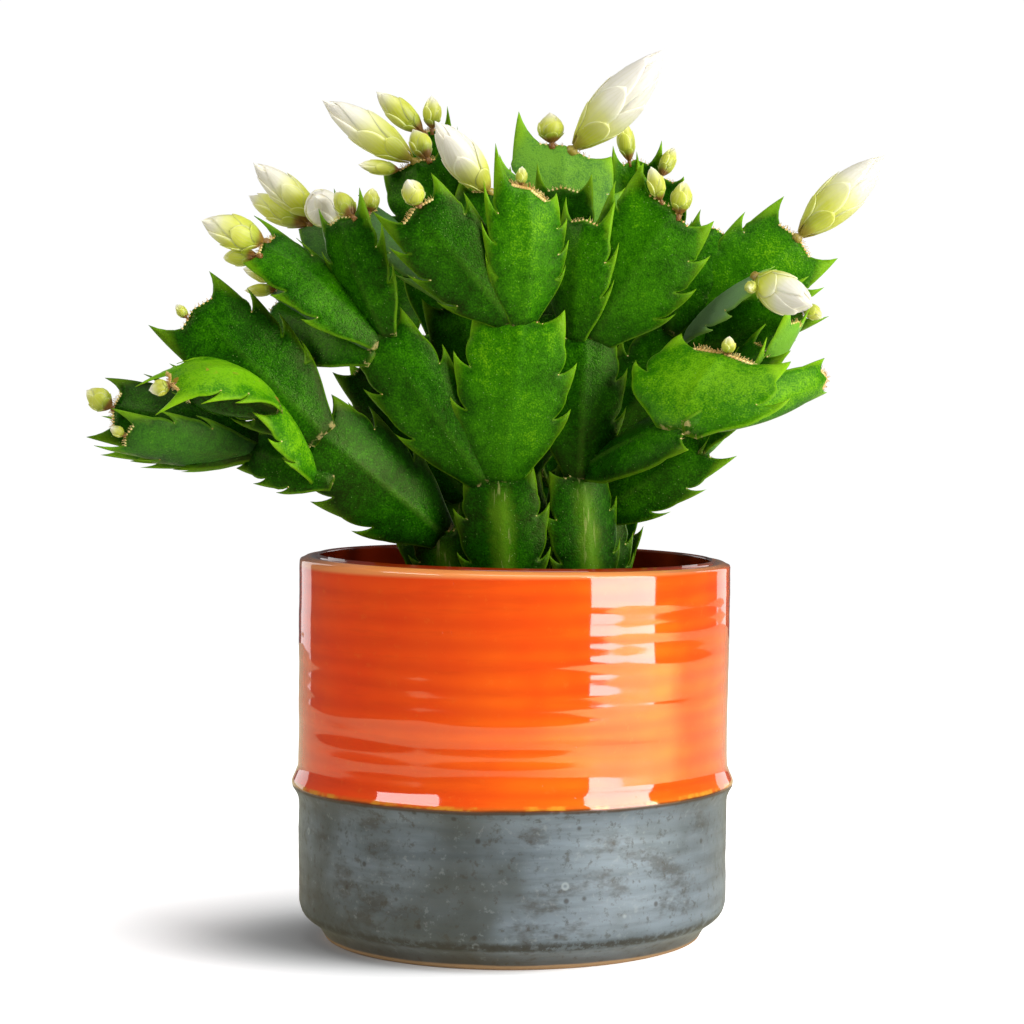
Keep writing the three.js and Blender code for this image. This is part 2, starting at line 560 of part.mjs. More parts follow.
addMesh('pot', potGeometry(), GLAZE);
addMesh('soil', soilGeometry(), SOIL_BROWN);
const frames = {};
for (const [name, pads] of Object.entries(STEMS)) {
  addMesh(name, geometryOf(stemSolid(pads, frames)), PAD_GREEN);
}
BUDS.large.forEach((bud, i) => {
  addMesh(`bud_large_${i + 1}`, budGeometry(bud, frames, LARGE_BUD), BUD_WHITE);
});
BUDS.small.forEach((bud, i) => {
  addMesh(`bud_small_${i + 1}`, budGeometry(bud, frames, SMALL_BUD), BUD_GREEN);
});

export default group;
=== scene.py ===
import json
import math

import bpy
import numpy as np
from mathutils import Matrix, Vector
from mathutils.geometry import delaunay_2d_cdt

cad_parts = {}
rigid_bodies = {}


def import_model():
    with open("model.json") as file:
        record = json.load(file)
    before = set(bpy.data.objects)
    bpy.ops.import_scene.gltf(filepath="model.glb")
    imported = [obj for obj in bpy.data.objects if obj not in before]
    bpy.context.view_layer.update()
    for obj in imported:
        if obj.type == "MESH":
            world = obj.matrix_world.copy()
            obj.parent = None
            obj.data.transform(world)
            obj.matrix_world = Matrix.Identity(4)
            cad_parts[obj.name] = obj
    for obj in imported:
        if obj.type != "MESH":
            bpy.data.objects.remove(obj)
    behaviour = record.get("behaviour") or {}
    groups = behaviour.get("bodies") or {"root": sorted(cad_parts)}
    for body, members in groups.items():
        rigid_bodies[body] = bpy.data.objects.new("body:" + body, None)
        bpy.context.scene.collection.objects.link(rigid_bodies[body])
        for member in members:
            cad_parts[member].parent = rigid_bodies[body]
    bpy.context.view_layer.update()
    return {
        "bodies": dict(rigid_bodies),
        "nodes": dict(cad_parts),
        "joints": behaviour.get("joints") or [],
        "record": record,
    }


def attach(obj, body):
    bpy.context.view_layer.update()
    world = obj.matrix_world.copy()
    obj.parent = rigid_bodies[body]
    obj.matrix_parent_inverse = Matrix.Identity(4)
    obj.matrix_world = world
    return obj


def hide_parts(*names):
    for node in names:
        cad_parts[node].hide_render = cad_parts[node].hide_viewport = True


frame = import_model()

MM = 0.001

# A full turn in radians, where a random turn needs no more digits
FULL_TURN = 6.28

# Pot
POT_HEIGHT = 122
POT_RADIUS = 69.3
RIDGE_RADIUS = 71.6
RIDGE_HEIGHT = 50
FOOT_RADIUS = 60.7
FOOT_HEIGHT = 7.6
SHOULDER_HEIGHT = 10.6
FLAT_RADIUS = 30
WALL = 5.6
FLOOR = 9
RIM_DROP = 1.2
TOP_SHIFT = 1.1
INNER_RADIUS = POT_RADIUS - WALL
POT_STEP = 1.3

# Soil and the woody feet that stand in it
SOIL_TOP = 104
SOIL_LUMP = 1.1
SOIL_GAP = 0.25
FOOT_DEPTH = 24
FOOT_RISE = 5
FOOT_STEM_RADIUS = 3.4
CLEARANCE = 0.35

# Pads
SINK = 3.5
EDGE_THICKNESS = 1.1
BLADE_SWELL = 1.2
RIB_SWELL = 0.9
RIB_WIDTH = 1.8
EDGE_ROUND = 0.8
EDGE_LEAST = 0.27
SWELL_POWER = 1.7
RIPPLE = 0.5
RIPPLE_WAVES = 9
TEETH_START = 0.16
TEETH_STOP = 0.92
TOOTH = dict(before=0.12, tip=1.14, notch=0.82, reach=2, of_horn=0.5)
HORN = dict(at=0.97, before=0.12, tip_at=0.9, tip=1.02, notch=0.62)
NOTCH_VARIES = 0.025
REACH_VARIES = 0.2
HOLLOW_FADES = 2.2
FLANK = dict(forward=0.55, out=0.9, points=5)
HOOK = dict(forward=0.25, out=0.65, points=4)

# The mesh of a pad: the steps along its outline and inside it, and a ring of points that follows its edge
OUTLINE_STEP = 1.3
MESH_STEP = 1.5
ROW_SHARE = 0.87
RING_INSET = 0.55
RING_GAP = 0.42
GRID_GAP = 1.1

# From where to where a tooth's tip turns yellower across the pad, and a horn's along it, as shares
TOOTH_TIPS = (0.92, 1.17)
HORN_TIPS = (0.98, 1.1)

# The draws that are used for one thing each
REACH_DRAW, LIGHT_DRAW, RIPPLE_DRAW = 50, 70, 90
BUD_DRAW, TURN_DRAW, HIGH_DRAW = 11, 20, 30
FIRST_SMALL_BUD = 40

# The half width along a pad, and along a bud, as a share of half its greatest width
PAD_OUTLINE = [(0, 0.3), (0.12, 0.52), (0.28, 0.84), (0.45, 0.98), (0.62, 1), (0.8, 0.92), (1, 0.62)]
BUD_OUTLINE = [(0, 0.12), (0.1, 0.4), (0.24, 0.78), (0.42, 1), (0.62, 0.92), (0.82, 0.55), (1, 0)]

# Buds and their tepals. A bud narrower than FULL_LAYER_WIDTH has its tepals closer to its body.
BUD_GAP = 0.35
BUD_NECK = 1.6
BUD_NECK_WIDTH = 0.26
BUD_BODY = 0.86
BUD_BEND = 0.035
CORE_END = 0.015
TEPAL_THICKNESS = 0.3
TEPAL_THINS = 0.6
TEPAL_OVERLAP = 0.13
TEPAL_KEEL = 0.12
TEPAL_TIP_LIFT = 0.25
TEPAL_FOOT = 0.62
TEPAL_TAPER = 3.2
TEPAL_TIP = 0.02
TEPAL_TWIST = 0.9
FULL_LAYER_WIDTH = 8
SMALL_GREEN = 0.75

# Camera, with its tilt down in radians
CAMERA_LENS = 97.8
CAMERA_FILM = 36
CAMERA_PLACE = (0, -900, 178.4)
CAMERA_TILT = 0.046

# Each rooted stem with its pads: on names the pad that a pad grows on, in the middle of its end unless at
# gives another share of its length and half width, and foot is where it leaves the soil. Its far end is at
# end, and its upper side looks along face.
STEMS = dict(
    stem_left=dict(
        l0=dict(foot=(-14, -20), end=(-23, -26, 132), width=23, face=(-0.3, -1, 0), horns=3),
        l1=dict(on="l0", end=(-60, -50, 164), width=31, face=(-0.1, -1, 0.3), fold=5, horns=4),
        l2=dict(on="l1", at=(1, 0.1), end=(-97, -53, 201), width=31, face=(0.1, -1, 0.2), teeth=3),
        l3=dict(on="l1", at=(0.88, -0.88), end=(-73, -62, 172), width=17, face=(0.9, -0.3, 0.3), horns=4),
        l4=dict(on="l3", end=(-101, -78, 178.5), width=24, face=(0.15, -0.5, 1), arch=8),
        l5=dict(on="l3", at=(1, -0.3), end=(-97, -66, 174.5), width=16, face=(0.2, -0.45, -1)),
        l6=dict(on="l1", at=(0.8, -0.7), end=(-81, -42, 158.5), width=17, face=(-0.2, -1, 0.4), horns=3),
        l7=dict(on="l6", at=(1, 0.2), end=(-122, -50, 171), width=26, face=(0, -1, 0.5)),
        l8=dict(on="l6", at=(1, -0.1), end=(-116, -66, 163), width=17, face=(0, -1, -0.5)),
        l9=dict(on="l6", at=(1, -0.3), end=(-121, -42, 162), width=15, face=(0, -1, 0.1)),
    ),
    stem_front=dict(
        c0=dict(foot=(-1, -30), end=(-4, -38, 150), width=27, face=(0, -1, 0), horns=3),
        c1=dict(on="c0", at=(1, 0.15), end=(2.5, -50, 199), width=34, face=(0.1, -1, 0.1), horns=4),
        c2=dict(on="c1", at=(1, 0.1), end=(5, -62, 237), width=25,
            face=(0.35, -1, 0.1), teeth=3, skew=-0.16, horns=(7.5, 6)),
        c3=dict(on="c1", at=(1, -0.4), end=(-29, -66, 231), width=26, face=(-0.2, -1, 0.2), teeth=3),
        c4=dict(on="c0", at=(1, -0.7), end=(-41, -48, 194), width=25, face=(-0.15, -1, 0.15), horns=4),
        c5=dict(on="c4", at=(1, -0.3), end=(-76, -52, 221), width=22, face=(0.3, -0.8, 0.6), horns=(2, 8)),
        c6=dict(on="c4", at=(1, 0.3), end=(-52, -52, 229), width=20, face=(-0.5, -0.8, 0.2)),
        c7=dict(on="c4", at=(0.95, -0.8), end=(-75, -30, 202), width=22, face=(0, -1, 0.3)),
        c8=dict(on="c4", at=(1, -0.6), end=(-73, -32, 211), width=16, face=(0.2, -0.9, -0.5)),
    ),
    stem_left_inner=dict(
        k0=dict(foot=(-24, 2), end=(-15, -8, 143), width=20, face=(0, -1, 0), teeth=1, horns=3),
        k1=dict(on="k0", end=(-46, -26, 186), width=27, face=(-0.1, -1, 0.1), horns=5),
        k2=dict(on="k1", at=(1, 0.4), end=(-61, -24, 231), width=19, face=(-0.3, -1, 0.2), horns=(0.5, 7)),
    ),
    stem_middle=dict(
        m0=dict(foot=(4, -8), end=(0, -18, 150), width=22, face=(0, -1, 0), teeth=1, horns=3),
        m1=dict(on="m0", at=(1, -0.3), end=(-17, -30, 205), width=27, face=(0, -1, 0.1), horns=4),
        m2=dict(on="m0", at=(1, 0.4), end=(14, -12, 202), width=26, face=(0.1, -1, 0), teeth=1, horns=4),
        m3=dict(on="m1", at=(1, -0.3), end=(-44, -38, 231), width=22, face=(0.7, -0.5, 0.6)),
        m4=dict(on="m1", end=(-30, -30, 248), width=27, face=(-0.1, -1, 0.1), horns=(2, 9)),
        m5=dict(on="m1", at=(1, 0.4), end=(-7, -34, 238), width=24, face=(0, -1, 0), horns=(3, 5)),
        m6=dict(on="m2", at=(1, -0.1), end=(16.8, -13, 254), width=38,
            face=(0.1, -1, 0.3), teeth=3, skew=-0.08, horns=(8, 4)),
        m7=dict(on="m2", at=(1, 0.3), end=(16, -25, 240), width=22, face=(-0.2, -1, 0)),
    ),
    stem_right=dict(
        r0=dict(foot=(24.5, -25), end=(21, -30, 151), width=24, face=(0.5, -1, 0), horns=3),
        r1=dict(on="r0", end=(22, -32, 194), width=26, face=(0.1, -1, 0), horns=4),
        r2=dict(on="r1", at=(1, 0.5), end=(49, -40, 233), width=35,
            face=(0.2, -1, 0.2), teeth=3, skew=-0.06),
        r3=dict(on="r1", at=(1, -0.3), end=(22.5, -40, 229), width=20, face=(-0.4, -1, 0)),
        r4=dict(on="r0", at=(1, 0.5), end=(53, -60, 166), width=22,
            face=(0.3, -0.8, 0.5), teeth=0, horns=(0.5, 3)),
        r5=dict(on="r4", at=(0.95, -0.15), end=(65, -46, 187.5), width=48,
            face=(-0.4, -0.85, 0.5), teeth=1),
        r6=dict(on="r5", at=(0.12, 0.3), end=(97.4, -36, 180.3), width=14,
            face=(0.1, -1, -0.3), teeth=0, horns=3),
    ),
    stem_right_side=dict(
        p0=dict(foot=(29, -8), end=(28, -14, 137), width=20, face=(0.2, -1, 0.1), horns=4),
        p1=dict(on="p0", end=(61, -24, 160), width=22, face=(0.2, -1, 0.3)),
        p2=dict(on="p1", at=(1, 0.2), end=(89, -34, 198), width=16, face=(0.9, -0.5, 0)),
        p3=dict(on="p1", at=(1, -0.1), end=(78, -34, 190), width=22, face=(0, -0.6, 1)),
    ),
    stem_right_inner=dict(
        q0=dict(foot=(14, 6), end=(24, -6, 152), width=22, face=(0, -1, 0), teeth=1, horns=3),
        q1=dict(on="q0", end=(55, -14, 194), width=27, face=(0.1, -1, 0.1), horns=4),
        q2=dict(on="q1", at=(1, 0.1), end=(91, -12, 225), width=33, face=(0, -1, 0.2), teeth=3),
        q3=dict(on="q1", at=(1, -0.6), end=(65, -8, 228), width=20, face=(-0.3, -1, 0.1)),
        q4=dict(on="q1", at=(1, 0.2), end=(76, -34, 211), width=18, face=(-0.5, -0.4, 0.9), horns=(5, 0.5)),
        q5=dict(on="q1", at=(1, 0.8), end=(91, -24, 203), width=18, face=(0, -1, -0.2)),
    ),
    stem_rear_left=dict(
        b0=dict(foot=(-22, 20), end=(-28, 24, 146), width=24, face=(0, 1, 0), teeth=1, horns=3),
        b1=dict(on="b0", at=(1, 0.3), end=(-44, 36, 186), width=27, face=(-0.2, 1, 0), horns=4),
        b2=dict(on="b0", at=(1, -0.5), end=(-24, 24, 196), width=25, face=(0, 1, 0), teeth=1, horns=4),
        b3=dict(on="b1", at=(1, 0.3), end=(-50, 50, 227), width=26, face=(-0.3, 1, 0.2)),
        b4=dict(on="b1", at=(1, -0.4), end=(-38, 38, 232), width=22, face=(0.3, 1, 0)),
        b5=dict(on="b2", end=(-25, 16, 242), width=24, face=(0, 1, 0), teeth=1, horns=4),
        b6=dict(on="b5", at=(1, -0.2), end=(-26, 10, 261), width=15, face=(0, 1, 0), horns=(9, 0.5)),
        b7=dict(on="b0", at=(1, 0.7), end=(-44, 56, 160), width=24, face=(0, 1, 0.6), horns=4),
        b8=dict(on="b7", end=(-46, 84, 184), width=27, face=(0, 1, 0.8)),
    ),
    stem_rear=dict(
        d0=dict(foot=(6, 28), end=(6, 30, 150), width=26, face=(0, 1, 0), teeth=1, horns=3),
        d1=dict(on="d0", at=(1, 0.4), end=(-6, 30, 198), width=28, face=(0, 1, 0), teeth=1, horns=4),
        d2=dict(on="d0", at=(1, -0.4), end=(22, 38, 194), width=28, face=(0, 1, 0), teeth=1, horns=4),
        d3=dict(on="d1", at=(1, 0.3), end=(-12, 38, 240), width=26, face=(-0.1, 1, 0.1)),
        d4=dict(on="d1", at=(1, -0.4), end=(8, 24, 243), width=24, face=(0.2, 1, 0)),
        d5=dict(on="d2", at=(1, -0.3), end=(36, 44, 233), width=26, face=(0.2, 1, 0.1)),
        d6=dict(on="d2", at=(1, 0.3), end=(16, 60, 225), width=26, face=(0, 1, 0.4)),
        d7=dict(on="d0", at=(0.96, 0.7), end=(-6, 62, 176), width=26, face=(-0.1, 1, 0.5), horns=4),
        d8=dict(on="d7", end=(-10, 88, 208), width=28, face=(-0.1, 1, 0.7)),
        d9=dict(on="d0", at=(0.96, -0.7), end=(24, 66, 168), width=24, face=(0.2, 1, 0.5), horns=4),
        d10=dict(on="d9", end=(34, 94, 192), width=26, face=(0.2, 1, 0.8)),
    ),
    stem_rear_right=dict(
        e0=dict(foot=(31, 22), end=(35, 20, 150), width=18, face=(0.2, 1, 0), teeth=1, horns=3),
        e1=dict(on="e0", at=(1, 0.4), end=(44, 10, 199), width=26, face=(0, 1, 0), teeth=1, horns=4),
        e2=dict(on="e0", at=(1, -0.3), end=(62, 32, 184), width=26, face=(0.3, 1, 0.2), horns=4),
        e3=dict(on="e1", at=(1, 0.4), end=(40, 5, 251), width=20, face=(-0.2, 1, 0)),
        e4=dict(on="e1", at=(1, -0.4), end=(48, 0, 245), width=19, face=(0.2, 1, 0), horns=(2, 12)),
        e5=dict(on="e2", at=(1, -0.2), end=(76, 46, 222), width=27, face=(0.3, 1, 0.2)),
        e6=dict(on="e2", at=(1, 0.5), end=(56, 62, 214), width=24, face=(0, 1, 0.4)),
        e7=dict(on="e0", at=(0.94, -0.7), end=(64, 56, 164), width=24, face=(0.3, 1, 0.5), horns=4),
        e8=dict(on="e7", end=(74, 84, 190), width=26, face=(0.3, 1, 0.7)),
    ),
)

# The buds: on names the pad that a bud grows on, and at says how far from the middle of its end, as a share
# of its half width. Green is how far the green reaches up a large bud, from 0 to 1.
LARGE_BUDS = [
    dict(on="m6", at=0.14, tip=(48.3, -22, 283.5), width=15.5, green=0.03),
    dict(on="q2", at=0, tip=(119, -14, 251), width=13.6, green=0.15),
    dict(on="m4", at=-0.05, tip=(-58.7, -36, 266), width=11, green=0.2),
    dict(on="m5", at=0, tip=(-23.6, -48, 258.5), width=11.6, green=0.15),
    dict(on="k2", at=0.02, tip=(-80.4, -33, 247), width=9.5, green=0.35),
    dict(on="k2", at=0.42, tip=(-60, -47, 235.5), width=11.5, green=0.25),
    dict(on="c5", at=0.1, tip=(-93.5, -60, 227.5), width=10.3, green=0.6),
    dict(on="k2", at=-0.34, tip=(-83.5, -15, 238), width=8.2, green=0.7),
    dict(on="q4", at=-0.05, tip=(91, -56, 202), width=12.8, green=0.32),
    dict(on="d8", at=0.2, tip=(-16, 106, 238), width=12, green=0.2),
    dict(on="e6", at=0, tip=(58, 86, 237), width=11, green=0.2),
]
SMALL_BUDS = [
    dict(on="c5", at=-0.42, tip=(-88.5, -46, 217), width=6),
    dict(on="b6", at=0.4, tip=(-44, 6, 273), width=8.6),
    dict(on="b6", at=0, tip=(-26, 8, 272), width=6.4),
    dict(on="m4", at=0.28, tip=(-31, -26, 258), width=7.2),
    dict(on="m4", at=-0.42, tip=(-47.5, -38, 246), width=4.8),
    dict(on="c3", at=0.1, tip=(-31, -72, 239), width=7),
    dict(on="c6", at=0.4, tip=(-54, -46, 237), width=6.5),
    dict(on="m3", at=0, tip=(-43, -37, 239), width=5.5),
    dict(on="c8", at=0.35, tip=(-83.5, -35, 214), width=7.5),
    dict(on="c8", at=-0.38, tip=(-83.5, -30, 207.5), width=4.2),
    dict(on="m6", at=-0.22, tip=(12, -13, 264.5), width=9),
    dict(on="e3", at=0.2, tip=(35.5, 3, 264), width=6),
    dict(on="r2", at=-0.2, tip=(42.5, -44, 245), width=5.6),
    dict(on="r2", at=0.2, tip=(53, -40, 241), width=7),
    dict(on="e4", at=0, tip=(52.5, 5, 255), width=5.4),
    dict(on="q4", at=0.36, tip=(72.5, -49, 207.5), width=4),
    dict(on="q5", at=0, tip=(97.5, -26, 199), width=5),
    dict(on="r5", at=0.05, tip=(66.5, -48.5, 193), width=4.6),
    dict(on="l7", at=0, tip=(-130, -50, 176.5), width=7.5),
    dict(on="l4", at=-0.1, tip=(-107, -80, 176.5), width=5),
    dict(on="l8", at=0, tip=(-120, -69, 165.5), width=3.4),
    dict(on="c2", at=-0.2, tip=(3, -64, 243.5), width=3.6),
    dict(on="l2", at=-0.2, tip=(-102, -54, 202.5), width=3.2),
    dict(on="d3", at=0, tip=(-14, 40, 250), width=7),
    dict(on="d10", at=0, tip=(37, 103, 201), width=6),
    dict(on="b8", at=0, tip=(-48, 93, 192), width=6.5),
    dict(on="e8", at=0.1, tip=(77, 92, 200), width=7),
]

# The layers of a bud's tepals, from the inside out, each from low to high as shares of the bud's length.
# Spread is half a tepal's width as an angle round the bud, and layer how proud of the bud's body it lies.
LARGE_LAYERS = [
    dict(count=3, low=0.3, high=0.99, spread=1.3, layer=0.2),
    dict(count=3, low=0.2, high=0.9, spread=1.15, layer=0.5),
    dict(count=4, low=0.1, high=0.62, spread=0.9, layer=0.75),
    dict(count=4, low=0.02, high=0.34, spread=0.85, layer=0.95),
]
SMALL_LAYERS = [
    dict(count=3, low=0.25, high=0.97, spread=1.3, layer=0.12),
    dict(count=3, low=0.08, high=0.7, spread=1.1, layer=0.34),
    dict(count=4, low=0.01, high=0.32, spread=0.8, layer=0.52),
]

# How light and yellow a pad's green is, from 0 to 1, and how much pale waxy bloom it has, whose pale colour
# is a painted reflection. The other pads are deeper green the nearer they are to the soil.
LIGHT_PADS = dict(
    l1=0.08, l2=0.2, l3=0.5, l4=0.8, l5=0.1, l7=0.15, c0=0.15, c1=0.4, c2=0.42, c3=0.16, c5=0.3,
    m6=0.7, r2=0.35, r3=0.4, r5=0.7, r6=0.6, p2=0.85, q2=0.45)
BLOOM_AND_REFLECTION_PADS = dict(c8=0.6, m3=0.45, q4=1, l8=0.12, p2=0.25, k2=0.3, m6=0.3)

# Pads with much wool on their end
WOOLLY_PADS = dict(r5=1.5, c2=1.3, l4=1, r6=1, l7=0.8, c5=0.9, q2=0.9, c3=0.8, m5=0.8, b6=1, k2=0.9, m4=0.8)


def draw(number, use):
    """A repeatable draw from 0 to 1 for a pad or a bud, by its number, and a use of it."""
    value = math.sin(number * 12.9898 + use * 78.233) * 43758.5453
    return value - math.floor(value)


def smooth_profile(profile, share):
    """The values of a profile of (share, value) points on a smooth curve through them."""
    shares, values = (np.array(column, float) for column in zip(*profile))
    slopes = np.gradient(values, shares)
    share = np.clip(share, shares[0], shares[-1])
    i = np.clip(np.searchsorted(shares, share, "right") - 1, 0, len(shares) - 2)
    step = shares[i + 1] - shares[i]
    t = (share - shares[i]) / step
    rise = values[i + 1] - values[i]
    start = slopes[i] * step - rise
    stop = rise - slopes[i + 1] * step
    return values[i] + rise * t + t * (1 - t) * (start * (1 - t) + stop * t)


def curve_through(start, bend, stop, count):
    """Points on the curve from start towards bend and on to stop, without stop itself."""
    t = np.linspace(0, 1, count, endpoint=False)[:, None]
    start, bend, stop = (np.array(point, float) for point in (start, bend, stop))
    return (1 - t) ** 2 * start + 2 * t * (1 - t) * bend + t ** 2 * stop


class PadFrame:
    """A pad's own frame: up along its length, out of its upper face, and across."""

    def __init__(self, pad, start, number):
        self.pad = pad
        self.start = start
        self.number = number
        self.half = pad["width"] / 2
        up = np.array(pad["end"], float) - start
        self.length = np.linalg.norm(up)
        self.up = up / self.length
        face = np.array(pad["face"], float)
        out = face - self.up * face.dot(self.up)
        self.out = out / np.linalg.norm(out)
        self.across = np.cross(self.up, self.out)

    def points(self, share, side, proud=0):
        """Places on the pad's middle surface, at shares of its length and distances across, and raised."""
        usual = dict(arch=2.5, fold=2.5, skew=0)
        arch, fold, skew = (self.pad.get(key, usual[key]) for key in usual)
        share, side, proud = np.broadcast_arrays(share, side, proud)
        lift = arch * 4 * share * (1 - share) - fold * (side / self.half) ** 2 + proud
        forward = share + skew * share * share * side / self.half
        return (self.start + np.multiply.outer(forward * self.length, self.up)
                + np.multiply.outer(side, self.across) + np.multiply.outer(lift, self.out))


def pad_frames():
    """The frame of every pad by its name, in the order in which they grow."""
    frames = {}
    for pads in STEMS.values():
        for name, pad in pads.items():
            if "foot" in pad:
                start = np.array([*pad["foot"], SOIL_TOP + SOIL_LUMP + CLEARANCE], float)
            else:
                carrier = frames[pad["on"]]
                share, side = pad.get("at", (1, 0))
                half = carrier.half * np.interp(share, *zip(*PAD_OUTLINE))
                seat = carrier.points(share, side * half)
                way = np.array(pad["end"], float) - seat
                start = seat - SINK * way / np.linalg.norm(way)
            frames[name] = PadFrame(pad, start, len(frames))
    return frames


def pad_side(frame, sign):
    """One side of a pad's outline as (forward, across) points in millimetres, and the places of its notches.
    Below each tooth the edge swells, the tooth leans forward, and a hollow cuts in behind its tip."""
    half, length, number = frame.half, frame.length, frame.number
    teeth = frame.pad.get("teeth", 2)
    horns = frame.pad.get("horns", 7)
    horn = horns[1 if sign > 0 else 0] if isinstance(horns, tuple) else horns

    def width(share):
        return half * smooth_profile(PAD_OUTLINE, share)

    pieces = []
    notches = []
    last, cut = 0, 1
    for k in range(teeth + 1):
        is_horn = k == teeth
        use = 7 * k + (1 if sign > 0 else 2)
        shape = HORN if is_horn else TOOTH
        shift = NOTCH_VARIES * (2 * draw(number, use) - 1)
        evenly = TEETH_START + (1 - TEETH_START) * (k + TEETH_STOP) / (teeth + 1)
        notch = HORN["at"] if is_horn else evenly + shift
        vary = 1 + REACH_VARIES * (2 * draw(number, use + REACH_DRAW) - 1)
        reach = vary * (horn if is_horn else TOOTH["of_horn"] * horn + TOOTH["reach"])
        before = notch - shape["before"]
        tip = (notch + reach / length, shape["tip"] * width(HORN["tip_at"] if is_horn else notch))
        back = (notch, shape["notch"] * width(notch))
        t = np.linspace(0, 1, max(3, round((before - last) * length / OUTLINE_STEP)), endpoint=False)
        share = last + (before - last) * t
        pieces.append(np.stack([share, width(share) * (1 - (1 - cut) * (1 - t) ** HOLLOW_FADES)], 1))
        edge = (before, float(width(before)))
        rise = max(tip[1] - edge[1], 0)
        flank = (before + FLANK["forward"] * (tip[0] - before), edge[1] + FLANK["out"] * rise)
        pieces.append(curve_through(edge, flank, tip, FLANK["points"]))
        hook = (notch + HOOK["forward"] * (tip[0] - notch), back[1] + HOOK["out"] * (tip[1] - back[1]))
        pieces.append(curve_through(tip, hook, back, HOOK["points"]))
        notches.append((notch, sign * back[1]))
        last, cut = notch, shape["notch"]
    outline = np.concatenate([*pieces, [back]]) * (length, sign)
    return outline, notches


def distance_to_lines(points, starts, stops):
    """The distance from each point to the nearest of some line segments, in the plane."""
    way = stops - starts
    size = np.maximum((way ** 2).sum(1), 1e-9)
    gap = points[:, None, :] - starts[None, :, :]
    t = np.clip((gap * way).sum(2) / size, 0, 1)
    return np.sqrt((((gap - t[:, :, None] * way) ** 2).sum(2)).min(1))


def unit(vectors):
    """Vectors brought to a length of 1."""
    return vectors / np.maximum(np.linalg.norm(vectors, axis=1), 1e-9)[:, None]


def fill_outline(outline, ahead):
    """The points and faces of an even flat mesh inside a pad's outline, seen from the pad's upper side."""
    inward = unit(np.stack([ahead[:, 1] - outline[:, 1], outline[:, 0] - ahead[:, 0]], 1))
    ring = outline + RING_INSET * unit(inward + np.roll(inward, 1, 0))
    low, high = outline.min(0), outline.max(0)
    rows = []
    for j, forward in enumerate(np.arange(low[0], high[0], MESH_STEP * ROW_SHARE)):
        side = np.arange(low[1], high[1], MESH_STEP) + (j % 2) * MESH_STEP / 2
        rows.append(np.stack([np.full(side.shape, forward), side], 1))
    points = [outline]
    for inner, least in ((ring, RING_GAP), (np.concatenate(rows), GRID_GAP)):
        points.append(inner[distance_to_lines(inner, outline, ahead) > least])
    count = len(outline)
    edges = [(i, (i + 1) % count) for i in range(count)]
    flat = [Vector(point) for point in np.concatenate(points)]
    flat, _, faces, *_ = delaunay_2d_cdt(flat, edges, [list(range(count))[::-1]], 1, 1e-4)
    flat = np.array([tuple(point) for point in flat])
    faces = np.array([face for face in faces if len(face) == 3])
    a, b, c = (flat[faces[:, i]] for i in range(3))
    turn = (b - a)[:, 0] * (c - a)[:, 1] - (b - a)[:, 1] * (c - a)[:, 0]
    faces[turn > 0] = faces[turn > 0][:, ::-1]
    used, renumbered = np.unique(faces, return_inverse=True)
    return flat[used], renumbered.reshape(faces.shape)


def closed_sheet(faces, count):
    """Closes a sheet of count points into a thin body, with its lower side in the next count points and walls
    along its rim. Gives all the faces, and the points of the rim."""
    edges = {(i, j) for a, b, c in faces.tolist() for i, j in ((a, b), (b, c), (c, a))}
    rim = sorted((i, j) for i, j in edges if (j, i) not in edges)
    walls = [face for i, j in rim for face in ((j, i, i + count), (j, i + count, j + count))]
    return np.concatenate([faces, faces[:, ::-1] + count, walls]), np.unique(rim)


def round_faces(rings, sides):
    """The faces of a closed round body: a point at its foot, rings of points upwards, and a point on top."""
    top = 1 + rings * sides
    faces = []
    for i in range(sides):
        after = (i + 1) % sides
        faces.append((0, 1 + after, 1 + i))
        faces.append((top, top - sides + i, top - sides + after))
        for j in range(rings - 1):
            a, b = 1 + j * sides + i, 1 + j * sides + after
            faces += [(a, b, b + sides), (a, b + sides, a + sides)]
    return np.array(faces)


def pad_shell(frame):
    """A pad as a closed shell of (points, faces, places, tips): thin at its edge, swelling to a raised rib.
    A place is the distance from the rib, the distance from the edge and the share of the length, and tips
    say how far out on a tooth or a horn a point is, from 0 to 1."""
    sides = [pad_side(frame, sign)[0] for sign in (1, -1)]
    outline = np.concatenate([sides[0], [(frame.length, 0)], sides[1][::-1]])
    ahead = np.roll(outline, -1, 0)
    flat, faces = fill_outline(outline, ahead)
    faces, rim = closed_sheet(faces, len(flat))
    gap = distance_to_lines(flat, outline, ahead)
    gap[rim] = 0
    share = flat[:, 0] / frame.length
    side = flat[:, 1]
    half = frame.half * smooth_profile(PAD_OUTLINE, share)
    swell = 1 - (1 - np.clip(gap / half, 0, 1)) ** SWELL_POWER
    thick = EDGE_THICKNESS + BLADE_SWELL * swell + RIB_SWELL * np.exp(-(side / RIB_WIDTH) ** 2)
    round_off = np.sqrt(1 - (1 - np.clip(gap / EDGE_ROUND, 0, 1)) ** 2)
    thick = thick * (EDGE_LEAST + (1 - EDGE_LEAST) * round_off)
    wave = RIPPLE_WAVES * share + FULL_TURN * draw(frame.number, RIPPLE_DRAW) + np.sign(side)
    ripple = RIPPLE * (side / frame.half) ** 2 * np.sin(wave)
    points = np.concatenate([frame.points(share, side, ripple + proud) for proud in (thick / 2, -thick / 2)])
    place = np.stack([np.abs(side), gap, share], 1)
    tips = np.maximum(np.interp(np.abs(side) / half, TOOTH_TIPS, (0, 1)), np.interp(share, HORN_TIPS, (0, 1)))
    return points, faces, np.tile(place, (2, 1)), np.tile(tips, 2)


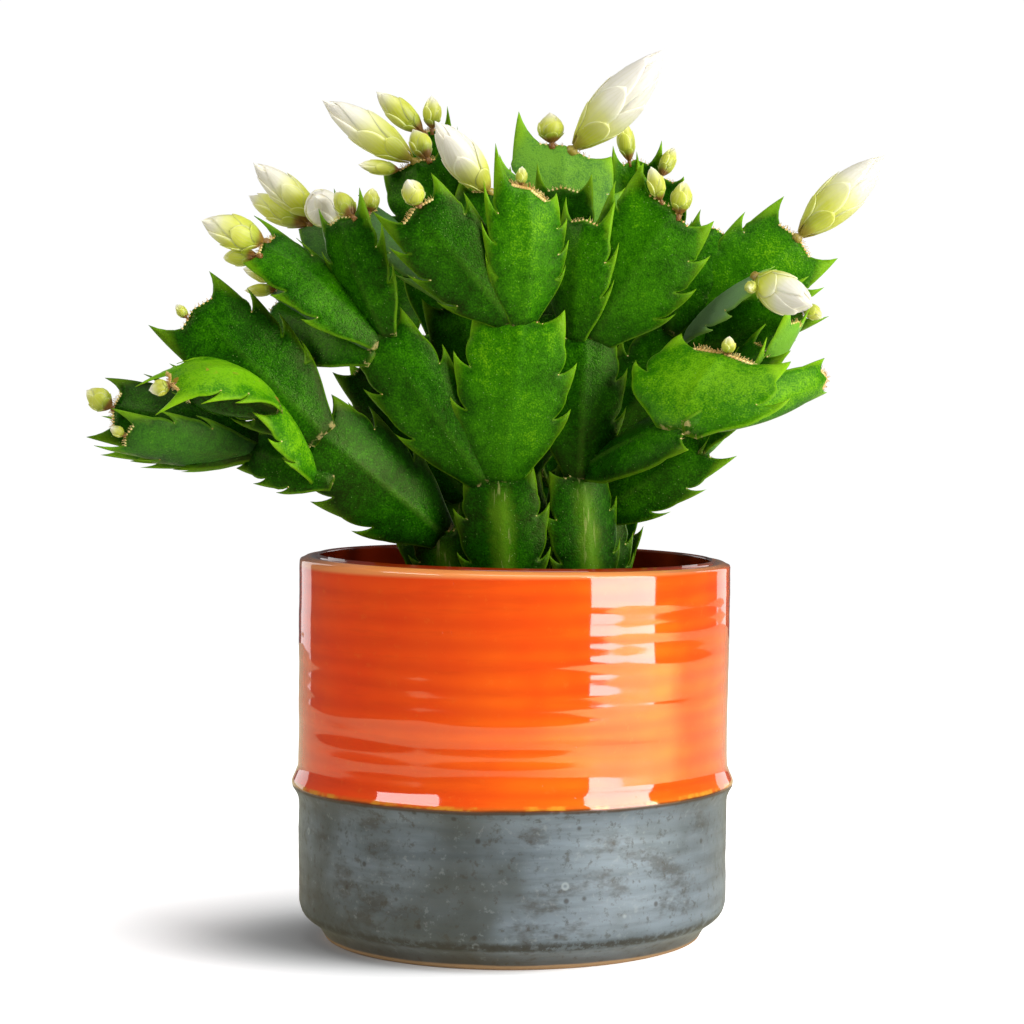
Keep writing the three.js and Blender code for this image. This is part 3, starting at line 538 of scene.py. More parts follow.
def put_together(parts):
    """Several (points, faces, *values) as one, with the faces renumbered."""
    offsets = np.cumsum([0] + [len(part[0]) for part in parts[:-1]])
    faces = [part[1] + offset for part, offset in zip(parts, offsets)]
    columns = [np.concatenate(column) for column in zip(*parts)]
    columns[1] = np.concatenate(faces)
    return columns


def make_piece(name, points, faces, materials, values=None, face_materials=None):
    """A smooth piece from points in millimetres, at the origin, with vector values on its points."""
    mesh = bpy.data.meshes.new(name)
    mesh.from_pydata(np.asarray(points, float) * MM, [], np.asarray(faces).tolist())
    for key, value in (values or {}).items():
        attribute = mesh.attributes.new(key, "FLOAT_VECTOR", "POINT")
        attribute.data.foreach_set("vector", np.asarray(value, np.float32).ravel())
    for finish in materials:
        mesh.materials.append(finish)
    if face_materials is not None:
        mesh.polygons.foreach_set("material_index", np.asarray(face_materials, np.int32))
    mesh.shade_smooth()
    piece = bpy.data.objects.new(name, mesh)
    bpy.context.scene.collection.objects.link(piece)
    return piece


def hand_over(piece, slot, *nodes):
    """Puts a piece on the root body and hides the nodes it stands for. The slot is not used."""
    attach(piece, "root")
    if nodes:
        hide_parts(*nodes)


def foot_shell(place):
    """The woody foot of a stem: a knotty, slightly uneven rod from deep in the soil to just above it."""
    sides, rings = 14, 12
    low, high = SOIL_TOP - FOOT_DEPTH, SOIL_TOP + FOOT_RISE
    points = [(*place, low)]
    for j in range(rings):
        for i in range(sides):
            turn = 2 * math.pi * i / sides
            knots = 0.94 + 0.05 * math.sin(3 * turn + j) + 0.04 * math.sin(5 * turn + 2.3 * j)
            radius = FOOT_STEM_RADIUS * knots
            z = low + (high - low) * j / (rings - 1)
            points.append((place[0] + radius * math.cos(turn), place[1] + radius * math.sin(turn), z))
    points.append((*place, high))
    plain = np.zeros((len(points), 3))
    return np.array(points), round_faces(rings, sides), plain, plain


def pad_tone(name, depth, tips):
    """How light the green is at a pad's points, its bloom with its painted reflection, or -1 on a stem's
    lowest pad, and its tips.
    """
    light = LIGHT_PADS.get(name, min(0.1 + 0.1 * depth, 0.4))
    light += 0.12 * (draw(frames[name].number, LIGHT_DRAW) - 0.5)
    bloom_and_reflection = BLOOM_AND_REFLECTION_PADS.get(name, 0) if depth else -1
    return np.stack([np.full(len(tips), light), np.full(len(tips), bloom_and_reflection), tips], 1)


def make_stems():
    """One piece for each rooted stem, with all its pads and its woody foot."""
    for stem, pads in STEMS.items():
        depth = {}
        parts = []
        for name, pad in pads.items():
            depth[name] = depth[pad["on"]] + 1 if "on" in pad else 0
            points, faces, place, tips = pad_shell(frames[name])
            parts.append((points, faces, place, pad_tone(name, depth[name], tips)))
        parts.append(foot_shell(next(pad["foot"] for pad in pads.values() if "foot" in pad)))
        points, faces, place, tone = put_together(parts)
        foot_faces = len(parts[-1][1])
        finish = np.zeros(len(faces))
        finish[-foot_faces:] = 1
        piece = make_piece(stem.replace("stem", "pads"), points, faces, [pad_skin, woody_skin],
                           dict(place=place, tone=tone), finish)
        hand_over(piece, "pad", stem)


def bud_frame(bud):
    """Where a bud starts and ends, with two directions across it."""
    carrier = frames[bud["on"]]
    corner = HORN["notch"] * np.interp(HORN["at"], *zip(*PAD_OUTLINE))
    share = 1 - (1 - HORN["at"]) * min(1, abs(bud["at"]) / corner)
    seat = carrier.points(share, bud["at"] * carrier.half)
    tip = np.array(bud["tip"], float)
    way = (tip - seat) / np.linalg.norm(tip - seat)
    start = seat + BUD_GAP * way
    one = np.cross(way, (0, 0.6, 0.8))
    one = one / np.linalg.norm(one)
    return start, tip, one, np.cross(way, one)


class BudShape:
    """The round body of a bud, gently bent, on which its tepals lie."""

    def __init__(self, bud, bend):
        self.start, self.tip, self.one, self.two = bud_frame(bud)
        self.radius = bud["width"] / 2
        self.length = np.linalg.norm(self.tip - self.start)
        self.bend = bend * self.length

    def points(self, along, turn, proud=0):
        """Places at shares of the bud's length, at angles round it, raised above its body by proud."""
        along, turn, proud = np.broadcast_arrays(along, turn, proud)
        body = self.radius * BUD_BODY * np.maximum(smooth_profile(BUD_OUTLINE, along), 0)
        body = body + proud * np.clip(3 * body / self.radius, 0, 1)
        radius = np.where(along < 0, BUD_NECK_WIDTH * self.radius, body)
        middle = self.start + np.multiply.outer(along, self.tip - self.start)
        middle = middle + np.multiply.outer(self.bend * 4 * along * (1 - along), self.two)
        return (middle + np.multiply.outer(radius * np.cos(turn), self.one)
                + np.multiply.outer(radius * np.sin(turn), self.two))


def grid_faces(rows, columns):
    """The faces of a grid of points, row by row."""
    faces = []
    for j in range(rows - 1):
        for i in range(columns - 1):
            a = j * columns + i
            faces += [(a, a + 1, a + columns + 1), (a, a + columns + 1, a + columns)]
    return np.array(faces)


def core_shell(shape, tone):
    """The closed inner body of a bud, down to the neck that grows out of the pad."""
    sides, rings = 20, 20
    neck = np.array([-(BUD_GAP + BUD_NECK), -0.3]) / shape.length
    along = np.concatenate([neck, np.linspace(CORE_END, 1 - CORE_END, rings)])
    turn = np.linspace(0, 2 * np.pi, sides, endpoint=False)
    points = [shape.points(share, turn) for share in along]
    points = np.concatenate([[points[0].mean(0)], *points, [shape.points(1, 0)]])
    place = np.zeros((len(points), 3))
    place[:, 0] = [along[0], *np.repeat(along, sides), 1]
    place[:, 1] = 0.4
    return points, round_faces(len(along), sides), place, np.tile(tone, (len(points), 1))


def tepal_shell(shape, tone, middle, spread, low, high, layer):
    """One tepal: a thin pointed leaf that hugs the bud, proud by its layer and thickest along its middle."""
    rows, columns = 13, 9
    t = np.linspace(0, 1, rows)[:, None]
    v = np.linspace(-1, 1, columns)[None, :]
    along = low + (high - low) * t + 0 * v
    widening = TEPAL_FOOT + (1 - TEPAL_FOOT) * np.sin(np.pi / 2 * np.clip(1.25 * t, 0, 1))
    half = spread * widening * (1 - t ** TEPAL_TAPER) ** 0.8 + TEPAL_TIP
    turn = middle + half * v + TEPAL_TWIST * along
    over = layer + TEPAL_OVERLAP * v * (1 - t ** 4) + TEPAL_TIP_LIFT * t ** 4
    outer = over + TEPAL_KEEL * (1 - v ** 2) * (1 - t)
    inner = over - TEPAL_THICKNESS * (1 - TEPAL_THINS * t)
    points = np.concatenate([shape.points(along, turn, proud).reshape(-1, 3) for proud in (outer, inner)])
    faces, _ = closed_sheet(grid_faces(rows, columns), rows * columns)
    place = np.stack([along, t + 0 * v, np.abs(v) + 0 * t], -1).reshape(-1, 3)
    return points, faces, np.tile(place, (2, 1)), np.tile(tone, (len(points), 1))


def make_buds():
    """One piece for each bud, its core wrapped in layers of tepals."""
    kinds = (("large", "cream", LARGE_BUDS, LARGE_LAYERS), ("small", "green", SMALL_BUDS, SMALL_LAYERS))
    for kind, look, buds, layers in kinds:
        for number, bud in enumerate(buds):
            luck = draw(number + (0 if kind == "large" else FIRST_SMALL_BUD), BUD_DRAW)
            shape = BudShape(bud, BUD_BEND * (luck - 0.3) if kind == "large" else 0)
            tone = (bud.get("green", SMALL_GREEN), luck, 0)
            scale = min(1, bud["width"] / FULL_LAYER_WIDTH)
            parts = [core_shell(shape, tone)]
            for j, layer in enumerate(layers):
                for i in range(layer["count"]):
                    steps = i + 0.5 * (j % 2) + 0.2 * draw(number, TURN_DRAW + i)
                    middle = 2 * math.pi * steps / layer["count"] + 6 * luck
                    high = layer["high"] * (1 - 0.05 * draw(number, HIGH_DRAW + 5 * j + i))
                    parts.append(tepal_shell(
                        shape, tone, middle, layer["spread"], layer["low"], high, layer["layer"] * scale))
            points, faces, place, tones = put_together(parts)
            values = dict(place=place, tone=tones)
            piece = make_piece(f"{look}_bud_{number + 1}", points, faces, [tepal_skin], values)
            hand_over(piece, f"{kind}_bud", f"bud_{kind}_{number + 1}")


class Value:
    """One output of a node, which can be added, multiplied and so on like a number."""

    def __init__(self, graph, socket):
        self.graph = graph
        self.socket = socket

    def __add__(self, other):
        return self.graph.math("ADD", self, other)

    __radd__ = __add__

    def __mul__(self, other):
        return self.graph.math("MULTIPLY", self, other)

    __rmul__ = __mul__

    def __sub__(self, other):
        return self.graph.math("SUBTRACT", self, other)

    def __rsub__(self, other):
        return self.graph.math("SUBTRACT", other, self)

    def __truediv__(self, other):
        return self.graph.math("DIVIDE", self, other)

    def __pow__(self, other):
        return self.graph.math("POWER", self, other)

    def output(self, name):
        """Another output of the same node."""
        return Value(self.graph, self.socket.node.outputs[name])


class Graph:
    """The nodes of a material or of a geometry tree."""

    def __init__(self, tree):
        self.tree = tree

    def node(self, kind, inputs=None, output=0, stops=None, **settings):
        """Adds a node: its settings and ramp stops first, then the values or links of its sockets."""
        node = self.tree.nodes.new(kind)
        for key, value in settings.items():
            setattr(node, key, value)
        if stops:
            ramp = node.color_ramp.elements
            while len(ramp) < len(stops):
                ramp.new(0.5)
            for element, (place, tint) in zip(ramp, stops):
                element.position = place
                element.color = (*tint, 1)
        for key, value in (inputs or {}).items():
            if isinstance(value, Value):
                self.tree.links.new(value.socket, node.inputs[key])
            else:
                node.inputs[key].default_value = value
        return Value(self, node.outputs[output]) if len(node.outputs) else None

    def math(self, operation, *values):
        return self.node("ShaderNodeMath", dict(enumerate(values)), operation=operation)

    def step(self, value, low, high):
        """Rises smoothly from 0 at low to 1 at high, or falls where high is the smaller."""
        if low > high:
            return 1 - self.step(value, high, low)
        inputs = {"Value": value, "From Min": low, "From Max": high}
        return self.node("ShaderNodeMapRange", inputs, interpolation_type="SMOOTHSTEP")

    def mix(self, share, first, second):
        """A colour between two colours."""
        first, second = ((*c, 1) if isinstance(c, tuple) else c for c in (first, second))
        return self.node("ShaderNodeMix", {0: share, 6: first, 7: second}, 2, data_type="RGBA")

    def coats(self, base, *coats):
        """A colour with coats of other colours over it, each (how much of it covers, red, green, blue)."""
        for share, *screen in coats:
            base = self.mix(share, base, colour(*screen))
        return base

    def ramp(self, value, *stops):
        """A colour from a row of colours, each (its place from 0 to 1, red, green, blue)."""
        stops = [(place, colour(*screen)) for place, *screen in stops]
        return self.node("ShaderNodeValToRGB", {"Fac": value}, stops=stops)

    def parts(self, vector):
        """The three numbers of a vector."""
        split = self.node("ShaderNodeSeparateXYZ", {0: vector})
        return split, split.output("Y"), split.output("Z")

    def attribute(self, name):
        return self.parts(self.node("ShaderNodeAttribute", output="Vector", attribute_name=name))

    def noise(self, point, scale, detail=2, roughness=0.5):
        inputs = {"Vector": point, "Scale": scale, "Detail": detail, "Roughness": roughness}
        return self.node("ShaderNodeTexNoise", inputs)

    def stretched(self, point, scale):
        """Places for a pattern that is drawn out, by a scale along each axis."""
        return self.node("ShaderNodeMapping", {"Vector": point, "Scale": scale})

    def cells(self, point, scale):
        """The distance to the nearest of many scattered dots."""
        return self.node("ShaderNodeTexVoronoi", {"Vector": point, "Scale": scale})

    def bump(self, height, distance, strength=1):
        return self.node("ShaderNodeBump", {"Height": height, "Distance": distance, "Strength": strength})


def colour(red, green, blue):
    """A colour from its screen values, 0 to 255."""
    shares = (red / 255, green / 255, blue / 255)
    return tuple(((c + 0.055) / 1.055) ** 2.4 if c > 0.04 else c / 12.92 for c in shares)


def material(name, paint):
    """A material whose Principled BSDF has the sockets that paint(graph, point) returns."""
    made = bpy.data.materials.new(name)
    made.use_nodes = True
    graph = Graph(made.node_tree)
    graph.tree.nodes.clear()
    point = graph.node("ShaderNodeTexCoord", output="Object")
    surface = graph.node("ShaderNodeBsdfPrincipled", paint(graph, point))
    graph.node("ShaderNodeOutputMaterial", {"Surface": surface})
    return made


def paint_pad(graph, point):
    """Fleshy pad skin: mottled from deep green to light green, a pale rib, thin yellow-green edges and tips,
    fine pale specks, corky flecks and painted shade at the joint below, waxy bloom with a painted pale
    reflection on some pads and brown scars on the lightest. A stem's lowest pad has a painted highlight and
    pale cork lines along its rib."""
    rib, edge, share = graph.attribute("place")
    light, bloom_and_reflection, tip = graph.attribute("tone")
    lowest = graph.math("LESS_THAN", bloom_and_reflection, -0.5)
    bloom_and_reflection = graph.math("MAXIMUM", bloom_and_reflection, 0)
    old = graph.step(light, 0.45, 0.1)
    cloud = graph.noise(point, 60)
    mottle = graph.noise(point, 420, 3, 0.6)
    grain = graph.noise(point, 1900)
    patches = 0.8 * (cloud - 0.5) + 0.6 * (mottle - 0.5) + 0.95 * (grain - 0.5)
    shade = light + patches * (1.05 - 0.35 * light) + 0.3 * (share - 0.4) * light
    shade = shade + 0.16 * graph.step(edge, 0.5, 5)
    pale_rib = graph.step(rib, 1.6, 0.3) * (0.04 + 0.16 * old) * graph.step(share, 1.1, 0.2)
    highlight_band = graph.step(rib + 5 * (mottle - 0.5) + 4 * (cloud - 0.5), 5.5, 0) * graph.step(share, 1, 0.75)
    lines = graph.noise(graph.stretched(point, (1, 1, 0.12)), 900)
    cork = graph.step(rib, 3, 1) * graph.step(lines, 0.58, 0.66)
    flecks = graph.step(share + 0.05 * (mottle - 0.5), 0.045, 0.03) * graph.step(mottle, 0.5, 0.6)
    scars = graph.step(rib, 3.5, 1.5) * graph.step(graph.noise(point, 190, 3), 0.56, 0.61)
    scars = scars * graph.step(light, 0.7, 0.74) * graph.step(bloom_and_reflection, 0.1, 0)
    speck = graph.step(graph.cells(point, 700), 0.15, 0.07) * graph.step(graph.noise(point, 260), 0.46, 0.56)
    skin = graph.coats(
        graph.ramp(shade, (0, 8, 34, 2), (0.35, 22, 74, 2), (0.7, 52, 118, 3), (1, 108, 168, 12)),
        (pale_rib, 92, 134, 40),
        # Painted highlight: a light green stripe along the rib of a stem's lowest pad
        (0.55 * lowest * highlight_band, 104, 150, 26),
        (0.3 * lowest * cork, 188, 184, 116),
        # Painted reflection: waxy bloom whose pale grey-green colour stands for a pale reflection
        (0.75 * bloom_and_reflection, 118, 148, 104),
        ((0.2 + 0.3 * light) * graph.step(edge, 0.7, 0.1), 124, 178, 22),
        (0.6 * tip * (0.4 + light), 140, 190, 26),
        # Painted shade: darker green at the pad's foot, where it joins the pad below
        (0.5 * graph.step(share, 0.1, 0.02), 14, 34, 4),
        (0.7 * flecks, 168, 150, 96),
        (0.8 * scars, 166, 122, 50),
        (0.4 * speck, 150, 186, 100),
    )
    wet = old * graph.step(rib, 7, 2) * graph.step(cloud, 0.4, 0.6)
    return {
        "Base Color": skin,
        "Roughness": 0.24 + 0.18 * mottle + 0.2 * bloom_and_reflection - 0.14 * wet,
        "Normal": graph.bump(0.7 * mottle + 0.6 * grain + 0.5 * speck, 0.0003, 0.7),
        "Specular IOR Level": 0.16,
        "Specular Tint": (0.7, 1, 0.25, 1),
        "Subsurface Weight": 0.08,
        "Subsurface Radius": (0.6, 1, 0.15),
        "Subsurface Scale": 0.002,
    }


def paint_woody(graph, point):
    """The corky skin of an old foot, in soil."""
    grain = graph.noise(point, 500, 4, 0.6)
    return {
        "Base Color": graph.mix(grain, colour(74, 62, 40), colour(140, 126, 88)),
        "Roughness": 0.8,
        "Normal": graph.bump(grain, 0.0006),
    }


def paint_tepal(graph, point):
    """Waxy tepals: yellow-green where they grow, cream-white above, with fine lengthwise veins, pale edges
    and a brown foot. They glow faintly in their own colour, a painted light that brightens them."""
    along, up, across = graph.attribute("place")
    green, luck, _ = graph.attribute("tone")
    grown = along - 0.06 - 0.62 * green + 0.12 * (luck - 0.5) + 0.12 * (graph.noise(point, 160) - 0.5)
    edge = graph.step(across, 0.82, 0.98) * graph.step(up, 0.05, 0.5)
    vein = graph.step(graph.math("SINE", across * 22 + 2 * graph.noise(point, 90)), 0.2, 1)
    uneven = along + 0.08 * (graph.noise(point, 400) - 0.5)
    skin = graph.coats(
        graph.ramp(
            0.5 + 0.5 * grown, (0.1, 120, 150, 22), (0.36, 190, 202, 40), (0.56, 212, 216, 66),
            (0.64, 232, 232, 136), (0.72, 246, 241, 212), (1, 248, 241, 238)),
        (0.25 * edge, 255, 255, 238),
        (0.16 * vein, 216, 212, 150),
        (0.6 * green * graph.step(uneven, 0.4, 0.2), 122, 146, 26),
        ((0.6 + 0.4 * green) * graph.step(uneven - 0.1 * green, 0.16, 0.03), 122, 66, 26),
    )
    return {
        "Base Color": skin,
        "Roughness": 0.42 + 0.1 * graph.noise(point, 900),
        "Normal": graph.bump(0.2 * vein + graph.noise(point, 500), 0.0001, 0.5),
        "Subsurface Weight": 0.5,
        "Subsurface Radius": (1, 0.95, 0.75),
        "Subsurface Scale": 0.003,
        # Painted light: the tepals glow faintly in their own colour, which brightens them
        "Emission Color": skin,
        "Emission Strength": 0.08,
        "Coat Weight": 0.1,
        "Coat Roughness": 0.3,
    }


def paint_wool(graph, point):
    """Dry tan wool and bristles, browner here and there."""
    shade = graph.noise(point, 260, 3)
    return {
        "Base Color": graph.mix(graph.step(shade, 0.35, 0.65), colour(246, 226, 150), colour(206, 166, 92)),
        "Roughness": 0.9,
    }


def paint_soil(graph, point):
    """Dark peaty soil: each crumb has its own brown, and a few are pale."""
    crumb, _, _ = graph.attribute("crumb")
    peat = graph.mix(graph.noise(point, 70, 3), colour(38, 27, 20), colour(74, 54, 38))
    return {
        "Base Color": graph.coats(
            peat, (0.5 * crumb, 104, 78, 52), (graph.step(crumb, 0.955, 0.965), 214, 206, 190)),
        "Roughness": 0.92,
        "Normal": graph.bump(graph.noise(point, 900, 4, 0.7), 0.0005),
    }


def paint_glaze(graph, point):
    """Two glazes on one pot: glossy orange above the ridge and inside, mottled satin grey below it, a dark
    line where they meet, faint thrown rings and pin holes, and bare clay at the foot. Painted shade darkens
    the inside, a painted highlight lines the lip, the orange is painted brighter and redder on the left where
    less light falls, and a painted highlight lightens a stripe of the grey."""
    x, y, z = graph.parts(point)
    height = z / MM
    radius = graph.math("SQRT", x * x + y * y) / MM
    inside = graph.step(radius, INNER_RADIUS + 2, INNER_RADIUS + 0.8)
    wobble = graph.noise(point, 26) - 0.5
    level = height - RIDGE_HEIGHT - 1.8 * wobble
    upper = graph.step(level, -0.4, 0.4)
    cloud = graph.noise(point, 24, 3, 0.6)
    fine = graph.noise(point, 330, 4, 0.7)
    turned = graph.stretched(point, (0.12, 0.12, 1))
    ring = graph.noise(turned, 300, 3, 0.6)
    wheel = 0.5 + 0.5 * graph.math("SINE", height * 0.97 + 9 * graph.noise(turned, 60, 1))

    lip = graph.step(height, POT_HEIGHT - 2.6, POT_HEIGHT - 1) * (1 - inside)
    orange = graph.coats(
        graph.mix(graph.step(cloud, 0.3, 0.72), colour(238, 84, 5), colour(250, 112, 10)),
        # Painted light: the left side is brighter and redder, making up for less light there
        (0.6 * graph.step(x, 0.03, -0.06), 255, 56, 2),
        (0.4 * wheel, 222, 58, 3),
        (0.25 * graph.step(ring, 0.5, 0.72), 212, 60, 3),
        (0.3 * graph.step(fine, 0.58, 0.75), 242, 116, 34),
        # Painted shade: the inside of the pot is darkened to a deep red-brown
        (0.8 * inside, 84, 20, 10),
        # Painted highlight: a pale orange line along the lip
        (0.75 * lip, 252, 168, 96),
        (0.5 * graph.step(level, 2.2, 0.4) * upper, 206, 116, 30),
    )

    soot = graph.step(graph.noise(graph.stretched(point, (0.5, 0.5, 1)), 70, 5, 0.7), 0.54, 0.68)
    # Painted highlight: a soft vertical stripe right of the middle lightens the grey
    painted_sheen = graph.step(x, -0.01, 0.022) * graph.step(x, 0.06, 0.026)
    blister = graph.cells(point, 60)
    edge = graph.step(height, SHOULDER_HEIGHT, SHOULDER_HEIGHT - 2)
    edge = edge * graph.step(height, FOOT_HEIGHT - 1.2, FOOT_HEIGHT - 0.2)
    bare = graph.step(height + 1.2 * wobble, 1.9, 1.2) * (1 - upper)
    grey = graph.coats(
        graph.mix(graph.step(cloud + 0.16 * painted_sheen, 0.32, 0.72), colour(70, 75, 73), colour(122, 135, 145)),
        (0.3 * graph.step(ring, 0.42, 0.66) + 0.2 * wheel, 64, 72, 76),
        (0.6 * soot, 54, 48, 40),
        (0.6 * graph.step(fine, 0.54, 0.68), 62, 58, 50),
        (0.3 * graph.step(fine, 0.42, 0.3), 150, 158, 160),
        (0.7 * graph.step(graph.cells(point, 110), 0.13, 0.05), 48, 42, 38),
        (0.5 * graph.step(blister, 0.09, 0.06) * graph.step(blister, 0.02, 0.05), 168, 178, 178),
        ((0.4 + 0.45 * graph.step(fine, 0.44, 0.52)) * edge, 40, 35, 30),
        (0.5 * graph.step(height, 7, 2), 82, 68, 52),
        (bare, 176, 140, 98),
    )

    broken = graph.noise(point, 90, 3, 0.6)
    line = graph.step(level, -1.3, -0.5) * graph.step(level, 1, 0.1) * graph.step(broken, 0.3, 0.45)
    cream = graph.step(level, 0.2, 0.5) * graph.step(level, 1.9, 1.2) * graph.step(broken, 0.56, 0.44)
    pits = graph.step(graph.cells(point, 300), 0.08, 0.02) * graph.step(graph.noise(point, 50), 0.52, 0.6)
    relief = 0.35 * (1 - upper) * (fine + ring) - 0.6 * pits
    return {
        "Base Color": graph.coats(
            graph.mix(upper, grey, orange), (0.85 * line, 62, 38, 12), (0.7 * cream, 222, 160, 44)),
        "Roughness": 0.06 + (1 - upper) * (0.22 + 0.16 * fine + 0.4 * bare),
        "Metallic": 0.2 * (1 - upper) * (1 - bare),
        "Normal": graph.bump(relief, 0.0002, 0.6),
        "Coat Weight": 0.6 * upper,
        "Coat Roughness": 0.03,
        "Specular IOR Level": 0.55,
    }


def paint_floor(graph, point):
    """A plain pale floor. For the camera it glows away from the pot, so that it meets the white surrounding,
    and a painted shadow darkens it close to the pot's left. In reflections it is warmer, and glows far off at
    the
    right: a painted reflection of a bright, warm table."""
    x, y, _ = graph.parts(point)
    seen = graph.node("ShaderNodeLightPath", output="Is Camera Ray")
    mirrored = seen.output("Is Glossy Ray")
    beside = graph.math("SQRT", (0.75 * x + 0.022) ** 2 + (y + 0.012) ** 2)
    far = 1 - graph.step(beside + graph.math("MAXIMUM", x, 0), 0.16, 0.02) ** 2
    # Painted shadow: for the camera the floor is darkened close to the pot's left
    painted_shadow = graph.step(beside, 0.07, 0.035) * graph.step(x, 0.02, -0.05)
    painted_shadow_base = graph.mix(0.6 * painted_shadow * seen, (0.9, 0.9, 0.9), (0.3, 0.3, 0.3))
    away = graph.math("SQRT", x * x + y * y)
    # Painted reflection: seen only in reflections, the floor glows far off at the right
    bright = mirrored * graph.step(away, 0.34, 0.42) * graph.step(y, 0.1, -0.1)
    bright = bright * (0.1 + 0.9 * graph.step(x, 0, 0.4))
    glow = graph.mix(far * seen, (0.0, 0.0, 0.0), (0.8, 0.8, 0.8))
    return {
        # Painted reflection: in reflections the floor is a warm cream
        "Base Color": graph.mix(mirrored, painted_shadow_base, (0.92, 0.87, 0.6)),
        "Roughness": 0.7,
        "Specular IOR Level": 0.1,
        "Emission Color": graph.mix(bright, glow, (2.2, 2.0, 0.6)),
        "Emission Strength": 1,
    }


class Builder(Graph):
    """A Geometry Nodes tree with named inputs for its sizes, which ends in one finished mesh."""

    def __init__(self, name, sizes):
        super().__init__(bpy.data.node_groups.new(name, "GeometryNodeTree"))
        self.tree.interface.new_socket("Geometry", in_out="INPUT", socket_type="NodeSocketGeometry")
        for key, value in sizes.items():
            kind = "NodeSocketInt" if isinstance(value, int) else "NodeSocketFloat"
            self.tree.interface.new_socket(key, in_out="INPUT", socket_type=kind)
        self.tree.interface.new_socket("Geometry", in_out="OUTPUT", socket_type="NodeSocketGeometry")
        self.sizes = sizes
        self.inputs = self.tree.nodes.new("NodeGroupInput")
        self.base = Value(self, self.inputs.outputs["Geometry"])

    def size(self, name):
        return Value(self, self.inputs.outputs[name])

    def vector(self, x, y, z):
        return self.node("ShaderNodeCombineXYZ", {0: x, 1: y, 2: z})

    def random(self, low, high, seed):
        """A random number between low and high, or a vector where they are vectors."""
        first, output, data_type = (0, 0, "FLOAT_VECTOR") if isinstance(low, tuple) else (2, 1, "FLOAT")
        inputs = {first: low, first + 1: high, "Seed": seed}
        return self.node("FunctionNodeRandomValue", inputs, output, data_type=data_type)

    def named(self, name):
        """A vector that the base's points carry."""
        return self.node("GeometryNodeInputNamedAttribute", {"Name": name}, data_type="FLOAT_VECTOR")

    def instances(self, points, instance, **inputs):
        """A small mesh repeated on points."""
        return self.node("GeometryNodeInstanceOnPoints", {"Points": points, "Instance": instance, **inputs})

    def finish(self, finish_material, *parts):
        """Ends the tree: all its parts as real faces, with the material."""
        joined = self.node("GeometryNodeJoinGeometry")
        for part in parts:
            self.tree.links.new(part.socket, joined.socket.node.inputs[0])
        real = self.node("GeometryNodeRealizeInstances", {0: joined})
        finished = self.node("GeometryNodeSetMaterial", {"Geometry": real, "Material": finish_material})
        self.node("NodeGroupOutput", {0: finished})

    def grow(self, piece):
        """Runs the tree on a piece and leaves the result as its plain mesh."""
        modifier = piece.modifiers.new(self.tree.name, "NODES")
        modifier.node_group = self.tree
        for item in self.tree.interface.items_tree:
            if item.in_out == "INPUT" and item.name in self.sizes:
                modifier[item.identifier] = self.sizes[item.name]
        bpy.context.view_layer.update()
        depsgraph = bpy.context.evaluated_depsgraph_get()
        mesh = bpy.data.meshes.new_from_object(piece.evaluated_get(depsgraph), depsgraph=depsgraph)
        piece.modifiers.clear()
        piece.data = mesh
        return piece


def smooth_path(points, steps):
    """A smooth line through points, each pair joined by steps points."""
    points = np.array(points, float)
    before = np.concatenate([points[:1], points, points[-1:]])
    t = np.linspace(0, 1, steps, endpoint=False)[:, None]
    path = []
    for a, b, c, d in zip(before, before[1:], before[2:], before[3:]):
        bend = (2 * a - 5 * b + 4 * c - d) * t ** 2 + (3 * b - a - 3 * c + d) * t ** 3
        path.append(0.5 * (2 * b + (c - a) * t + bend))
    return np.concatenate(path + [points[-1:]])


def pot_outline():
    """The outline of the pot's wall, from the middle of its foot up the outside, over the lip and down."""
    foot = [(FOOT_RADIUS + out, height) for out, height in ((-1, 0), (0, 0.2), (0.5, 1), (2.7, 4.3))]
    outside = [(POT_RADIUS + out, height) for out, height in (
        (-1.7, FOOT_HEIGHT), (-0.3, SHOULDER_HEIGHT), (0, 14), (0, 28), (0, RIDGE_HEIGHT - 7),
        (0.8, RIDGE_HEIGHT - 3), (RIDGE_RADIUS - POT_RADIUS, RIDGE_HEIGHT), (1, RIDGE_HEIGHT + 3.5),
        (0.2, RIDGE_HEIGHT + 8), (0.2, 84), (0.4, POT_HEIGHT - 4), (-0.1, POT_HEIGHT - 1.2),
        (-1.6, POT_HEIGHT))]
    inside = [(INNER_RADIUS + out, height) for out, height in (
        (1.8, POT_HEIGHT), (0.4, POT_HEIGHT - 1.4), (0, POT_HEIGHT - 4), (0, 60), (0, FLOOR + 6),
        (-1.2, FLOOR + 1.8), (-4, FLOOR))]
    path = smooth_path(foot + outside + inside, 12)
    far = np.concatenate([[0], np.cumsum(np.hypot(*np.diff(path, axis=0).T))])
    even = np.linspace(0, far[-1], int(far[-1] / POT_STEP))
    path = np.stack([np.interp(even, far, path[:, k]) for k in (0, 1)], 1)
    return np.concatenate([[(0, 0), (FLAT_RADIUS, 0)], path, [(FLAT_RADIUS, FLOOR), (0, FLOOR)]])


